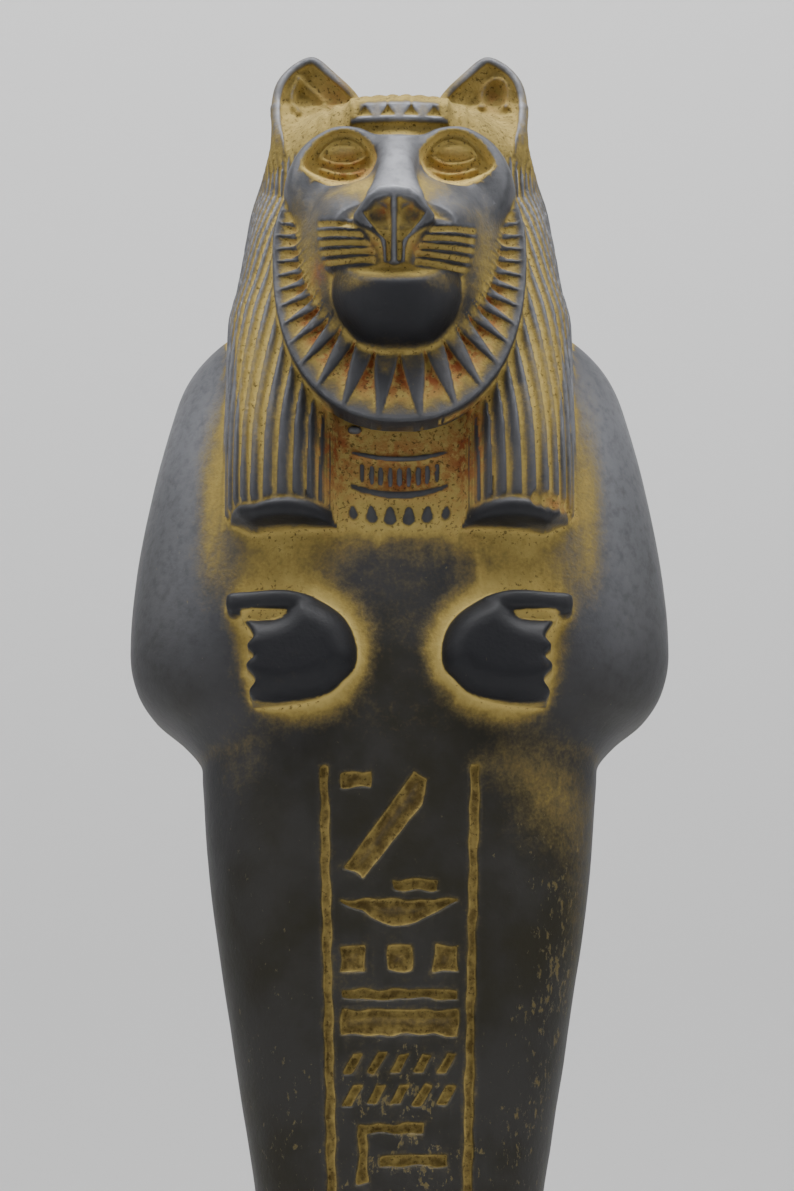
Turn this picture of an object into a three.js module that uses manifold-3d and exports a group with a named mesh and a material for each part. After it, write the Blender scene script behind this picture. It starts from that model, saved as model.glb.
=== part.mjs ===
// A cast-stone statuette of the lion-headed goddess in mummy form, on its low plinth, as one solid.
// Millimetres, +Z up, the front faces -Y, and the origin is the middle of the plinth's underside.
import * as THREE from "three";
import { mergeVertices } from "three/addons/utils/BufferGeometryUtils.js";
import Module from "manifold-3d";

const wasm = await Module();
wasm.setup();

// Driving sizes, in millimetres.
const figureHeight = 287; // plinth top to the tips of the ears
const plinthWidth = 62;
const plinthDepth = 79;
const plinthHeight = 12;
const plinthEdge = 1.2; // bevel round the plinth
const axisSetBack = 8; // the figure's upright axis stands this far behind the plinth's middle
const signDepth = 0.9; // how deep the signs and border lines are cut into the skirt
const strandGroove = 0.8; // how deep the grooves between the strands of the wig are
const whiskerGroove = 0.7; // how deep the whisker lines are cut into the muzzle

// The figure is drawn in figure units, 287 to its height, so its carving keeps its proportions.
// There x runs to the right, y up from the plinth's top and z forward from the upright axis.
const FIGURE_UNITS = 287;
const unit = figureHeight / FIGURE_UNITS;
const inUnits = (mm) => mm / unit;
const degrees = THREE.MathUtils.degToRad;
const vector = (x, y, z) => new THREE.Vector3(x, y, z);

// A closed three.js geometry as a solid for the boolean joins and cuts.
function solid(geometry) {
  const bare = new THREE.BufferGeometry();
  const flat = geometry.index ? geometry.toNonIndexed() : geometry;
  bare.setAttribute("position", flat.getAttribute("position").clone());
  const merged = mergeVertices(bare, 1e-4);
  const faces = [];
  const index = merged.index.array;
  for (let i = 0; i < index.length; i += 3) {
    const [a, b, c] = [index[i], index[i + 1], index[i + 2]];
    if (a !== b && b !== c && a !== c) faces.push([a, b, c]);
  }
  const make = (triangles) =>
    new wasm.Manifold(
      new wasm.Mesh({
        numProp: 3,
        vertProperties: new Float32Array(merged.attributes.position.array),
        triVerts: new Uint32Array(triangles.flat()),
      }),
    );
  const made = make(faces);
  return made.volume() < 0 ? make(faces.map(([a, b, c]) => [a, c, b])) : made;
}

const join = (solids) => solids.reduce((whole, next) => whole.add(next));

// The same solid on both sides of the middle plane.
const bothSides = (made) => made.add(made.mirror([1, 0, 0]));

// A closed skin over rings of equal counts of points, with a fan over each end.
function loft(rings) {
  const count = rings[0].length;
  const points = rings.flat();
  const middle = (ring) => ring.reduce((sum, p) => sum.add(p), vector(0, 0, 0)).divideScalar(count);
  const first = points.push(middle(rings[0])) - 1;
  const last = points.push(middle(rings[rings.length - 1])) - 1;
  const faces = [];
  for (let j = 0; j < count; j++) {
    const next = (j + 1) % count;
    for (let i = 0; i + 1 < rings.length; i++) {
      const [a, b] = [i * count + j, i * count + next];
      faces.push(a, b, b + count, a, b + count, a + count);
    }
    const top = (rings.length - 1) * count;
    faces.push(first, next, j, last, top + j, top + next);
  }
  const geometry = new THREE.BufferGeometry().setFromPoints(points);
  return solid(geometry.setIndex(faces));
}

// Reads a smooth curve through stations [[y, value, value...], ...] at a height y.
function readStations(stations, y) {
  const last = stations.length - 1;
  let i = 0;
  while (i < last - 1 && y > stations[i + 1][0]) i++;
  const [s0, s1] = [stations[i], stations[i + 1]];
  const [before, after] = [stations[Math.max(i - 1, 0)], stations[Math.min(i + 2, last)]];
  const span = s1[0] - s0[0];
  const t = THREE.MathUtils.clamp((y - s0[0]) / span, 0, 1);
  return s0.slice(1).map((v0, k) => {
    const v1 = s1[k + 1];
    const slope0 = before === s0 ? (v1 - v0) / span : (v1 - before[k + 1]) / (s1[0] - before[0]);
    const slope1 = after === s1 ? (v1 - v0) / span : (after[k + 1] - v0) / (after[0] - s0[0]);
    const [t2, t3] = [t * t, t * t * t];
    return (
      v0 * (2 * t3 - 3 * t2 + 1) +
      v1 * (3 * t2 - 2 * t3) +
      span * (slope0 * (t3 - 2 * t2 + t) + slope1 * (t3 - t2))
    );
  });
}

// How far a superellipse of those half sizes reaches in the direction (s, c).
function reach(s, c, across, along, squareness) {
  const sum = (Math.abs(s) / across) ** squareness + (Math.abs(c) / along) ** squareness;
  return sum ** (-1 / squareness);
}

// A ring in the x-y plane at depth z, for forms that are stacked towards the viewer.
function frontRing({ z, x = 0, y, wide, high, square = 2 }, count) {
  return Array.from({ length: count }, (_, i) => {
    const a = (i / count) * 2 * Math.PI;
    const r = reach(Math.cos(a), Math.sin(a), wide, high, square);
    return vector(x + r * Math.cos(a), y + r * Math.sin(a), z);
  });
}

const stack = (sections, count) => loft(sections.map((section) => frontRing(section, count)));

function ellipsoid(x, y, z, wide, high, deep, across = 16, down = 10) {
  const ball = new THREE.SphereGeometry(1, across, down);
  return solid(ball.scale(wide, high, deep).translate(x, y, z));
}

// An outline [[x, y], ...] as a slab from depth z0 to z1.
function slab(outline, z0, z1) {
  const shape = new THREE.Shape(outline.map(([x, y]) => new THREE.Vector2(x, y)));
  const made = new THREE.ExtrudeGeometry(shape, { depth: z1 - z0, bevelEnabled: false });
  return solid(made.translate(0, 0, z0));
}

// An outline [[x, y], ...] as a block from depth z0 to a front whose depth depends on the height.
function blockTo(outline, z0, frontAt) {
  return loft([
    outline.map(([x, y]) => vector(x, y, z0)),
    outline.map(([x, y]) => vector(x, y, frontAt(y))),
  ]);
}

const box = (x0, x1, y0, y1) => [[x0, y0], [x1, y0], [x1, y1], [x0, y1]];

// A smooth closed or open curve through outline points, as points.
function smooth(outline, count, closed = true) {
  const curve = new THREE.CatmullRomCurve3(
    outline.map(([x, y, z = 0]) => vector(x, y, z)),
    closed,
    "centripetal",
  );
  return curve.getPoints(count).slice(0, closed ? count : count + 1);
}

const flat = (points) => points.map(({ x, y }) => [x, y]);

// The points of an outline drawn in towards a centre by a share, as a ring at depth z.
const drawnIn = (points, [cx, cy], share, z) =>
  points.map(({ x, y }) => vector(cx + (x - cx) * share, cy + (y - cy) * share, z));

// A round rod along a path of points.
function rod(path, radius, sides = 6) {
  const tangent = (i) =>
    path[Math.min(i + 1, path.length - 1)].clone().sub(path[Math.max(i - 1, 0)]).normalize();
  const rings = path.map((p, i) => {
    const t = tangent(i);
    const side = vector(0, 0, 1).cross(t).normalize();
    const up = t.clone().cross(side);
    return Array.from({ length: sides }, (_, k) => {
      const a = (k / sides) * 2 * Math.PI;
      return p
        .clone()
        .addScaledVector(side, radius * Math.cos(a))
        .addScaledVector(up, radius * Math.sin(a));
    });
  });
  return loft(rings);
}

// Wrapped body, from the feet to the neck: height, half width, front and back depth.
const bodyStations = [
  [-1, 22, 40, 20],
  [11, 22, 39.5, 20],
  [18, 21.6, 36, 19.8],
  [25, 21, 28.5, 19],
  [36, 20.6, 22, 18.2],
  [56, 22.6, 21, 18.6],
  [80, 25.8, 22, 20],
  [106, 30, 23, 22],
  [132, 33.9, 24.3, 24.5],
  [150, 35.4, 25, 25.4],
  [154, 36, 25.2, 25.6],
  [158, 39.4, 25.5, 25.8],
  [162, 44.2, 25.8, 26],
  [167, 47.4, 26, 26.3],
  [174, 48.8, 26.2, 26.8],
  [188, 47.8, 26.2, 27],
  [204, 45, 26, 26.6],
  [216, 42, 25.4, 25.6],
  [224, 39.2, 23.6, 23.6],
  [230, 34.6, 20.4, 20.6],
  [235, 28, 16, 17],
  [240, 20, 11, 12],
];
const BODY_COLUMNS = 32;
const BODY_SQUARENESS = 2.3;
const bodyHeights = [
  -1, 12, 18, 23, 28, 36, 56, 90, 130, 150, 154, 157.5, 161, 165, 170, 178, 194, 212, 222, 230, 240,
];

// The body's skin, or a skin that lies below it by the given depth.
function body(below = 0) {
  return loft(
    bodyHeights.map((y) => {
      const [across, front, back] = readStations(bodyStations, y);
      return Array.from({ length: BODY_COLUMNS }, (_, i) => {
        const a = (i / BODY_COLUMNS) * 2 * Math.PI;
        const [s, c] = [Math.sin(a), Math.cos(a)];
        const r = reach(s, c, across, c > 0 ? front : back, BODY_SQUARENESS) - below;
        return vector(r * s, y, r * c);
      });
    }),
  );
}

// Wig: height, half width, front and back depth of the mass round the head.
const wigStations = [
  [186, 31.2, 20, 31],
  [232, 31.2, 20, 31.2],
  [240, 29.7, 20, 30.4],
  [249.5, 28.4, 20.5, 29.4],
  [259.5, 26.8, 24, 27.6],
  [267, 23.8, 25, 24.6],
  [272.5, 18.8, 23, 19.6],
  [275.6, 12.4, 15.6, 13.4],
  [277.2, 5, 7, 6],
];
const wigHeights = [222, 240, 262, 270, 274.6, 277.2];
const WIG_SQUARENESS = 2.3;
const LAPPET_CENTRE = 0.65; // shares of the wig's half width there: its distance from the middle,
const LAPPET_HALF_WIDTH = 0.35; // its half width
const LAPPET_THICKNESS = 0.42; // and its half thickness
const lappetStations = [
  [186, 20],
  [208, 19.4],
  [218, 17.4],
  [232, 13.4],
  [250, 8],
  [266, 1],
  [274, 0],
]; // height, and how far forward the lappet's centre line stands
const STRAND_PITCH = 2.6; // of one strand along the wig's outline
const FINE_STRANDS = 13; // to each side, from the front
const BACK_STRANDS = 9; // broader ones, round the back
const FRONT_GAP = 15; // angle to each side of the middle that has no strands
const STRANDS_LEVEL = 210; // height at which the strands are spaced out
const LAPPET_END = 190.6; // height of the chord of a lappet's slanting end
const LAPPET_SLANT = 0.17; // rise of that end towards the viewer
const CUFF_HEIGHT = 2.9; // plain rim at a lappet's end
const BACK_HEM = 189; // height of the wig's lower edge at the back

function wigRadius(angle, y) {
  const [s, c] = [Math.sin(angle), Math.cos(angle)];
  const [across, front, back] = readStations(wigStations, y);
  const mass = reach(s, c, across, c > 0 ? front : back, WIG_SQUARENESS);
  const [centre] = readStations(lappetStations, y);
  // The far crossing of the ray with the lappet's ellipse.
  const [u, w] = [Math.abs(s) / (LAPPET_HALF_WIDTH * across), c / (LAPPET_THICKNESS * across)];
  const [p, q] = [LAPPET_CENTRE / LAPPET_HALF_WIDTH, centre / (LAPPET_THICKNESS * across)];
  const half = u * p + w * q;
  const root = half * half - (u * u + w * w) * (p * p + q * q - 1);
  const lappet = root > 0 ? (half + Math.sqrt(root)) / (u * u + w * w) : 0;
  return Math.max(mass, lappet);
}

// Angle from the front, in degrees, at which the strands have come so far round the wig.
function angleAlong(length) {
  const step = 0.25;
  let angle = FRONT_GAP;
  for (let run = 0; run < length; angle += step) {
    run += degrees(step) * wigRadius(degrees(angle), STRANDS_LEVEL);
  }
  return angle;
}

// Angles of the wig's columns, each with its depth below the strands' tops.
function wigColumns() {
  const groove = inUnits(strandGroove);
  const right = [];
  for (let i = 0; i < FINE_STRANDS; i++) {
    right.push([angleAlong(i * STRAND_PITCH), groove], [angleAlong((i + 0.5) * STRAND_PITCH), 0]);
  }
  const side = angleAlong(FINE_STRANDS * STRAND_PITCH);
  const broad = (360 - 2 * side) / BACK_STRANDS;
  const back = Array.from({ length: 2 * BACK_STRANDS + 1 }, (_, i) => {
    return [side + (i * broad) / 2, i % 2 === 0 ? groove : 0];
  });
  const left = right.map(([angle, depth]) => [360 - angle, depth]).reverse();
  const columns = [...right, ...back, ...left, [360, groove]];
  return columns.map(([angle, depth]) => [degrees(angle), depth]);
}

function wig() {
  const columns = wigColumns();
  const point = (angle, y, out) => {
    const r = wigRadius(angle, y) + out;
    return vector(r * Math.sin(angle), y, r * Math.cos(angle));
  };
  const hem = (angle) => {
    const r = wigRadius(angle, LAPPET_END);
    const isFront = THREE.MathUtils.smoothstep(Math.cos(angle), 0.1, 0.6);
    const slanted = LAPPET_END + LAPPET_SLANT * (r * Math.cos(angle) - 24);
    return THREE.MathUtils.lerp(BACK_HEM, slanted, isFront);
  };
  const rings = [
    columns.map(([a]) => point(a, hem(a), -0.2)),
    columns.map(([a]) => point(a, hem(a) + CUFF_HEIGHT - 0.4, 0.1)),
    columns.map(([a]) => point(a, hem(a) + CUFF_HEIGHT, -inUnits(strandGroove))),
    columns.map(([a, depth]) => point(a, hem(a) + CUFF_HEIGHT + 0.9, -depth)),
  ];
  for (const y of wigHeights) {
    rings.push(columns.map(([a, depth]) => point(a, y, -depth)));
  }
  return loft(rings);
}

// Ruff of hair round the face: a leaning plate whose tufts stand between raised darts.
const RUFF_CENTRE = 243; // height
const RUFF_ACROSS = 22.8;
const RUFF_DOWN = 35.2;
const RUFF_UP = 22;
const RUFF_SQUARENESS = 2.3;
const RUFF_FRONT = 36; // how far forward its lowest point stands
const RUFF_LEAN = 0.28; // how far it leans back for each unit up
const RUFF_THICKNESS = 7;
const RUFF_TUFTS = 13; // to each side of the middle one
const TUFT_START = 0.6; // share of the ruff's reach where the tufts' points are
const TUFT_RELIEF = 1.6; // how deep a tuft's point is sunk

const ruffFace = (y) => RUFF_FRONT - RUFF_LEAN * (y - (RUFF_CENTRE - RUFF_DOWN));
// Angle from straight down of the edge after so many tufts; those at the chin are the widest.
const tuftEdge = (k) => Math.sign(k) * (7 * Math.abs(k) + 17 * (1 - Math.exp(-Math.abs(k) / 3)));

// Each tuft is a sunk triangle, pointed and deepest at the throat and as wide as its place at the rim,
// so that the darts between the tufts taper outwards.
function ruff() {
  const columns = [];
  for (let k = -RUFF_TUFTS; k <= RUFF_TUFTS; k++) {
    const [from, to] = [tuftEdge(k - 0.5), tuftEdge(k + 0.5)];
    for (const [side, sunk] of [[-1, 0], [-1, 1], [1, 1], [1, 0]]) {
      columns.push({ middle: (from + to) / 2, half: (side * (to - from)) / 2, sunk });
    }
  }
  const ring = (radius, tuftShare, relief, back) =>
    columns.map(({ middle, half, sunk }) => {
      const angle = degrees(middle + half * tuftShare);
      const [s, c] = [Math.sin(angle), -Math.cos(angle)];
      const r = radius * reach(s, c, RUFF_ACROSS, c < 0 ? RUFF_DOWN : RUFF_UP, RUFF_SQUARENESS);
      const y = RUFF_CENTRE + r * c;
      return vector(r * s, y, ruffFace(y) - sunk * relief - back);
    });
  return loft([
    ring(0.42, 0.96, 0, RUFF_THICKNESS),
    ring(TUFT_START, 0.08, TUFT_RELIEF, 0),
    ring(0.98, 0.96, 0.1, 0),
    ring(1, 0.96, 0, 0.8),
    ring(0.97, 0.96, 0, RUFF_THICKNESS),
  ]);
}

// Ear: an upright leaf with a thick rim round a hollow that holds a bent ridge.
const earOutline = [
  [-5.5, 268],
  [-6.3, 276.4],
  [-9, 280.7],
  [-12.5, 284.1],
  [-15.7, 286.6],
  [-18.6, 286],
  [-22.3, 282.6],
  [-23.8, 277.2],
  [-23.7, 273.6],
  [-23.1, 268],
  [-21.6, 262.5],
  [-14, 262],
];
const earRidge = [
  [-19.2, 275.5, 6.6],
  [-19.9, 279.4, 6.8],
  [-18.4, 282, 6.8],
  [-16, 280, 6.8],
  [-13.9, 277.8, 6.8],
];
const EAR_CENTRE = [-15.5, 274];
const EAR_LEAN = 5; // how far its front comes forward between these heights, towards the brow
const EAR_LEAN_FROM = 279;
const EAR_LEAN_TO = 268;
const EAR_FOOT = 262;
const EAR_POINTS = 16;

function ear() {
  const rim = smooth(earOutline, EAR_POINTS);
  const { smoothstep } = THREE.MathUtils;
  const lean = (y) =>
    EAR_LEAN * smoothstep(-y, -EAR_LEAN_FROM, -EAR_LEAN_TO) * smoothstep(y, EAR_FOOT, EAR_LEAN_TO);
  const ring = (share, z) =>
    drawnIn(rim, EAR_CENTRE, share, z).map((p) => vector(p.x, p.y, z > 1 ? z + lean(p.y) : z));
  const leaf = loft([
    ring(0.75, 0.5),
    ring(1, 4),
    ring(0.97, 9),
    ring(0.87, 9.4),
    ring(0.8, 7.4),
    ring(0.5, 6.4),
  ]);
  const ridge = rod(smooth(earRidge, 6, false), 0.8, 5);
  return leaf.add(ridge);
}

// Hem of the wig over the brow: a rim and a band with a row of sunk triangles, under a sloping lip.
const BROW_BAND_HALF_WIDTH = 9;
const browBandProfile = [
  [12, 266.6],
  [26.2, 266.6],
  [26.2, 267.5],
  [25.8, 270.2],
  [25, 271.6],
  [23.4, 273.3],
  [12, 273.3],
]; // depth and height, from below
const TRIANGLES = 4;
const TRIANGLE_PITCH = 4.2;

function browBand() {
  const half = BROW_BAND_HALF_WIDTH;
  const band = slab(browBandProfile, -half, half).rotate([0, -90, 0]);
  const sunk = Array.from({ length: TRIANGLES }, (_, i) => {
    const x = (i - (TRIANGLES - 1) / 2) * TRIANGLE_PITCH;
    return slab([[x - 1.7, 267.7], [x + 1.7, 267.7], [x, 270]], 24.8, 40);
  });
  return band.subtract(join(sunk));
}

// Mask of the face: its outline from the dip of the brow round one cheek.
const maskOutline = [
  [0, 263],
  [-3, 264],
  [-6, 265.8],
  [-9.4, 266.5],
  [-13, 266],
  [-17, 263.4],
  [-19.6, 260],
  [-21, 256],
  [-20.6, 252],
  [-18.9, 247],
  [-16.8, 241.6],
  [-14.4, 237],
];
const MASK_POINTS = 30;
const MASK_CENTRE = [0, 252];

function mask() {
  const far = maskOutline.slice(1).reverse().map(([x, y]) => [-x, y]);
  const rim = smooth([...maskOutline, ...far], MASK_POINTS);
  const ring = (share, z) => drawnIn(rim, MASK_CENTRE, share, z);
  const front = [ring(0.94, 27.4), ring(0.86, 29), ring(0.5, 30.2)];
  return loft([ring(0.88, 10), ring(1, 19), ring(0.985, 24), ...front]);
}

// Half width and front of a form at heights, in slices that are superellipses in plan. The slices can
// rise towards the back.
function levelSlices({ stations, levels, depth, square, angles, rise = 0, sunkAt = () => 0 }) {
  const turns = [...angles, ...angles.map((a) => 360 - a).reverse()].map(degrees);
  return levels.map((y) => {
    const [across, front] = readStations(stations, y);
    return turns.map((a) => {
      const [s, c] = [Math.sin(a), Math.cos(a)];
      const r = reach(s, c, across, front - depth, square);
      const sunk = c > 0 ? sunkAt(Math.abs(r * s), y) : 0;
      const z = depth + (r - sunk) * c;
      return vector((r - sunk) * s, y + rise * Math.min(front - z, 8), z);
    });
  });
}

// Muzzle: height, half width and front.
const muzzleStations = [
  [231, 10.6, 40],
  [233.2, 12.8, 41.4],
  [236, 13.9, 42.6],
  [239, 14.2, 43.4],
  [241.4, 13.8, 43.4],
  [242.8, 12.6, 42.4],
  [244.2, 9.6, 40],
];
const MUZZLE_SQUARENESS = 3.4;
const MUZZLE_DEPTH = 24; // of its upright axis
const muzzleAngles = [8, 17, 26, 36, 50, 80, 150]; // of its columns, from straight ahead
const TOP_WHISKER = 241.2; // height of the top whisker line
const WHISKER_PITCH = 1.75;
const WHISKER_LINES = 5;
const WHISKER_RISE = 0.25; // of the lines for each unit back
const WHISKERS_FROM = 4; // distance of the lines' inner ends from the middle

function whiskered() {
  const levels = [231, 232.4];
  for (let i = 2 * WHISKER_LINES - 1; i >= -1; i--) levels.push(TOP_WHISKER - (i * WHISKER_PITCH) / 2);
  levels.push(243.2, 244.2);
  const sunkAt = (x, y) => {
    const line = (TOP_WHISKER - y) / WHISKER_PITCH;
    const onLine = Math.abs(line - Math.round(line)) < 0.1 && line > -0.1 && line < WHISKER_LINES - 0.5;
    return onLine && x > WHISKERS_FROM ? inUnits(whiskerGroove) : 0;
  };
  return loft(
    levelSlices({
      stations: muzzleStations,
      levels,
      depth: MUZZLE_DEPTH,
      square: MUZZLE_SQUARENESS,
      angles: muzzleAngles,
      rise: WHISKER_RISE,
      sunkAt,
    }),
  );
}

function muzzle() {
  const snout = stack(
    [
      { z: 16, y: 250, wide: 19.4, high: 15, square: 2.2 },
      { z: 23, y: 248, wide: 18.4, high: 14, square: 2.2 },
      { z: 30, y: 245.4, wide: 16, high: 11.4, square: 2.3 },
      { z: 36, y: 243.6, wide: 13.4, high: 8, square: 2.4 },
      { z: 39.6, y: 242.8, wide: 10.6, high: 4.6, square: 2.3 },
    ],
    16,
  );
  const bridge = stack(
    [
      { z: 22, y: 259, wide: 8, high: 6, square: 2.4 },
      { z: 30, y: 256.6, wide: 6, high: 6.4, square: 2.4 },
      { z: 36, y: 252, wide: 5, high: 6, square: 2.4 },
      { z: 40, y: 248, wide: 5.4, high: 5, square: 2.3 },
      { z: 43.6, y: 243.6, wide: 6.4, high: 3.5, square: 2.2 },
    ],
    12,
  );
  return join([snout, bridge, whiskered()]);
}

// Nose: a pad that draws back as it goes down, with two nostrils beside an upright bar.
const noseOutline = [
  [0, 248.4],
  [2.8, 247.8],
  [5, 245.6],
  [6.4, 242.9],
  [5.4, 240.2],
  [3, 237.4],
  [1.4, 235.8],
  [-1.4, 235.8],
  [-3, 237.4],
  [-5.4, 240.2],
  [-6.4, 242.9],
  [-5, 245.6],
  [-2.8, 247.8],
];
const nostrilOutline = [
  [-0.8, 245.6],
  [-2.9, 245.3],
  [-4.5, 243],
  [-4, 240.8],
  [-0.8, 236.6],
];
const noseFront = (y) => 46.2 - 0.28 * Math.max(246 - y, 0);

function nose() {
  const tip = blockTo(flat(smooth(noseOutline, 18)), 34, noseFront);
  const cut = blockTo(flat(smooth(nostrilOutline, 8)), 60, (y) => noseFront(y) - 1.6);
  return tip.subtract(bothSides(cut));
}

// Eyes, each a ball between lids in a hollow under the brow.
const socketOutline = [
  [-17.8, 257.8],
  [-15.8, 261.4],
  [-13.6, 263.5],
  [-11, 264.7],
  [-8.7, 264.7],
  [-6.6, 263.7],
  [-4.7, 261.7],
  [-3.8, 259.3],
  [-4, 257],
  [-5.6, 254.4],
  [-8.5, 253],
  [-12.5, 253.5],
  [-16, 255.4],
];
const EYE_CENTRE = [-10, 260.4];

function eyeHollows() {
  const rim = smooth(socketOutline, 15);
  const ring = (share, z) => drawnIn(rim, EYE_CENTRE, share, z);
  return bothSides(loft([ring(0.74, 26.7), ring(0.97, 29.4), ring(1.03, 34), ring(1.03, 50)]));
}

const almondOutline = [
  [-14.2, 259.6],
  [-12.6, 261.9],
  [-10.3, 262.8],
  [-7.8, 262.4],
  [-6, 260.4],
  [-8, 258.7],
  [-10, 258.4],
  [-12.2, 258.7],
];

function eyes() {
  const almond = smooth(almondOutline, 12);
  const ring = (share, z) => drawnIn(almond, EYE_CENTRE, share, z);
  const lids = loft([ring(1.12, 22), ring(1.05, 27.3), ring(0.86, 27.7), ring(0.74, 27)]);
  return bothSides(lids.add(ellipsoid(...EYE_CENTRE, 26.2, 3.4, 1.7, 2.4, 8, 5)));
}

// Lower jaw: height, half width and front of its level slices, under a lip that slopes up to the mouth.
const jawStations = [
  [221, 3.4, 30.5],
  [222, 5.6, 34],
  [223.2, 7.6, 37.2],
  [225, 9.6, 39.8],
  [227.4, 11, 41.6],
  [231, 11.9, 43.2],
];
const JAW_DEPTH = 22; // of its upright axis
const jawAngles = [9, 20, 30, 40, 55, 85, 125, 165];
const LIP_HEIGHT = 231.3;
const LIP_SLOPE = 0.9;

function jaw() {
  const levels = jawStations.map(([y]) => y);
  const rings = levelSlices({
    stations: jawStations,
    levels,
    depth: JAW_DEPTH,
    square: 3,
    angles: jawAngles,
  });
  const rim = rings[rings.length - 1];
  const lip = (z) => Math.min(LIP_HEIGHT + LIP_SLOPE * (43.5 - z), 244);
  rings[rings.length - 1] = rim.map(({ x, z }) => vector(x, lip(z), z));
  const jowls = stack(
    [
      { z: 14, y: 242.6, wide: 17.4, high: 22, square: 2.1 },
      { z: 25, y: 242.6, wide: 17.8, high: 22, square: 2.1 },
      { z: 29, y: 242.4, wide: 17, high: 20.4, square: 2.1 },
      { z: 32, y: 241.4, wide: 15, high: 19, square: 2.1 },
      { z: 34.4, y: 240.4, wide: 11, high: 16, square: 2.1 },
    ],
    16,
  );
  return loft(rings).add(jowls.trimByPlane([0, -1, 0], -247));
}

// Fist: a dome cut off by a scalloped edge of four fingers, and a thumb along its top.
const fingerEdge = [
  [-25.5, 160.3],
  [-25.9, 161.2],
  [-25.2, 163.3],
  [-26.5, 165.7],
  [-25.6, 167.2],
  [-26.3, 169.1],
  [-25.7, 171],
  [-26.7, 174.8],
];
const fistDome = [
  [-24.2, 174.4],
  [-21.7, 174.8],
  [-18.9, 175.4],
  [-18.6, 178.9],
  [-15.5, 178.4],
  [-13, 177.2],
  [-10.5, 175.4],
  [-8.7, 173.2],
  [-7.4, 168.1],
  [-8, 165.5],
  [-11.7, 161.8],
  [-14.2, 160.7],
  [-21.6, 159.7],
];
const FIST_CENTRE = [-18.6, 168];
const thumbOutline = [
  [-30.1, 178],
  [-29.2, 178.9],
  [-18.5, 179.1],
  [-16.8, 177.6],
  [-18.6, 175.8],
  [-27, 175.9],
  [-28, 175],
  [-29.2, 175.3],
  [-30.1, 176.6],
];
const THUMB_CENTRE = [-24, 177.4];

function fist() {
  const outline = [...fingerEdge, ...fistDome].map(([x, y]) => vector(x, y, 0));
  const ring = (share, z) => drawnIn(outline, FIST_CENTRE, share, z);
  const dome = loft([ring(1, 18), ring(1, 26.2), ring(0.96, 28), ring(0.84, 30), ring(0.5, 31)]);
  const top = thumbOutline.map(([x, y]) => vector(x, y, 0));
  const thumbRing = (share, z) => drawnIn(top, THUMB_CENTRE, share, z);
  return dome.add(loft([thumbRing(1, 18), thumbRing(1, 28.4), thumbRing(0.9, 29.3)]));
}

// Broad collar between the lappets: two curved bars, a row of beads and a row of drops.
const BEADS = 9;
const BEAD_PITCH = 1.65;
const DROPS = 6;
const DROP_PITCH = 3.33;

function collar() {
  const front = (x) => 26.6 - 0.012 * x * x;
  const bar = (y, sag, radius) =>
    rod(
      [-8.6, -4.3, 0, 4.3, 8.6].map((x) => vector(x, y + sag * x * x, front(x) - 0.3)),
      radius,
      5,
    );
  const parts = [bar(203.6, 0.02, 0.7), bar(196.9, 0.026, 0.9)];
  for (let i = 0; i < BEADS; i++) {
    const x = (i - (BEADS - 1) / 2) * BEAD_PITCH;
    const y = 198.5 + 0.02 * x * x;
    parts.push(slab(box(x - 0.42, x + 0.42, y, y + 3.5), 20, front(x) + 0.3));
  }
  for (let i = 0; i < DROPS; i++) {
    const x = (i - (DROPS - 1) / 2) * DROP_PITCH;
    parts.push(ellipsoid(x, 193.2 + 0.01 * x * x, front(x) - 0.6, 1.2, 1.8, 1.4, 6, 4));
  }
  return join(parts);
}

// Column of sunk strokes down the skirt between two border lines.
const COLUMN_TOP = 149;
const COLUMN_FOOT = 44;
const COLUMN_HALF_WIDTH = 13.2; // at the top
const COLUMN_TAPER = 0.022; // narrower by this for each unit down
const BORDER_WIDTH = 1.5;

const columnHalf = (y) => COLUMN_HALF_WIDTH - COLUMN_TAPER * (COLUMN_TOP - y);

const bar = (x0, x1, y, high) => box(x0, x1, y - high, y);
const squares = (y, high) => [-8, 0, 8].map((x) => bar(x - 2, x + 2, y, high));

// A row of leaning strokes.
function slants(y) {
  return [-8, -4, 0, 4, 8].map((x) => [
    [x - 1.6, y - 3.2],
    [x - 0.2, y - 3.2],
    [x + 1.6, y],
    [x + 0.2, y],
  ]);
}

function strokeOutlines() {
  const leaning = [[-9.4, 131], [-6.4, 129], [3.6, 141.6], [5, 146.6], [2.6, 147.6]];
  const bow = [[-10, 125.2], [0, 120.8], [10, 125.2]];
  return [
    bar(-10, -5, 147.6, 2.6),
    leaning,
    bar(-1, 6.6, 128.6, 1.6),
    flat(smooth(bow, 6, false)),
    ...squares(117.2, 4.2),
    bar(-10, 10, 109.6, 1.4),
    bar(-10, 10, 106.2, 4.2),
    ...slants(98.6),
    ...slants(93.2),
    bar(-7, 4, 86.6, 1.4),
    bar(-7, -5.6, 86.6, 10),
    bar(-3, 8, 81.2, 1.6),
    bar(-8, 8, 72.2, 1.6),
    ...squares(68, 3.4),
    bar(-8, 8, 61.4, 1.4),
  ];
}

function strokes() {
  const [top, foot] = [columnHalf(COLUMN_TOP), columnHalf(COLUMN_FOOT)];
  const half = BORDER_WIDTH / 2;
  const border = [
    [-foot - half, COLUMN_FOOT],
    [-foot + half, COLUMN_FOOT],
    [-top + half, COLUMN_TOP],
    [-top - half, COLUMN_TOP],
  ];
  const cuts = strokeOutlines().map((outline) => slab(outline, 8, 40));
  return join([bothSides(slab(border, 8, 40)), ...cuts]).subtract(body(inUnits(signDepth)));
}

// Solid filling of the head and neck behind the face.
function core() {
  return join([ellipsoid(0, 240, 12, 17, 22, 13, 12, 8), ellipsoid(0, 246, 20, 9, 16, 13, 12, 8)]);
}

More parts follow.
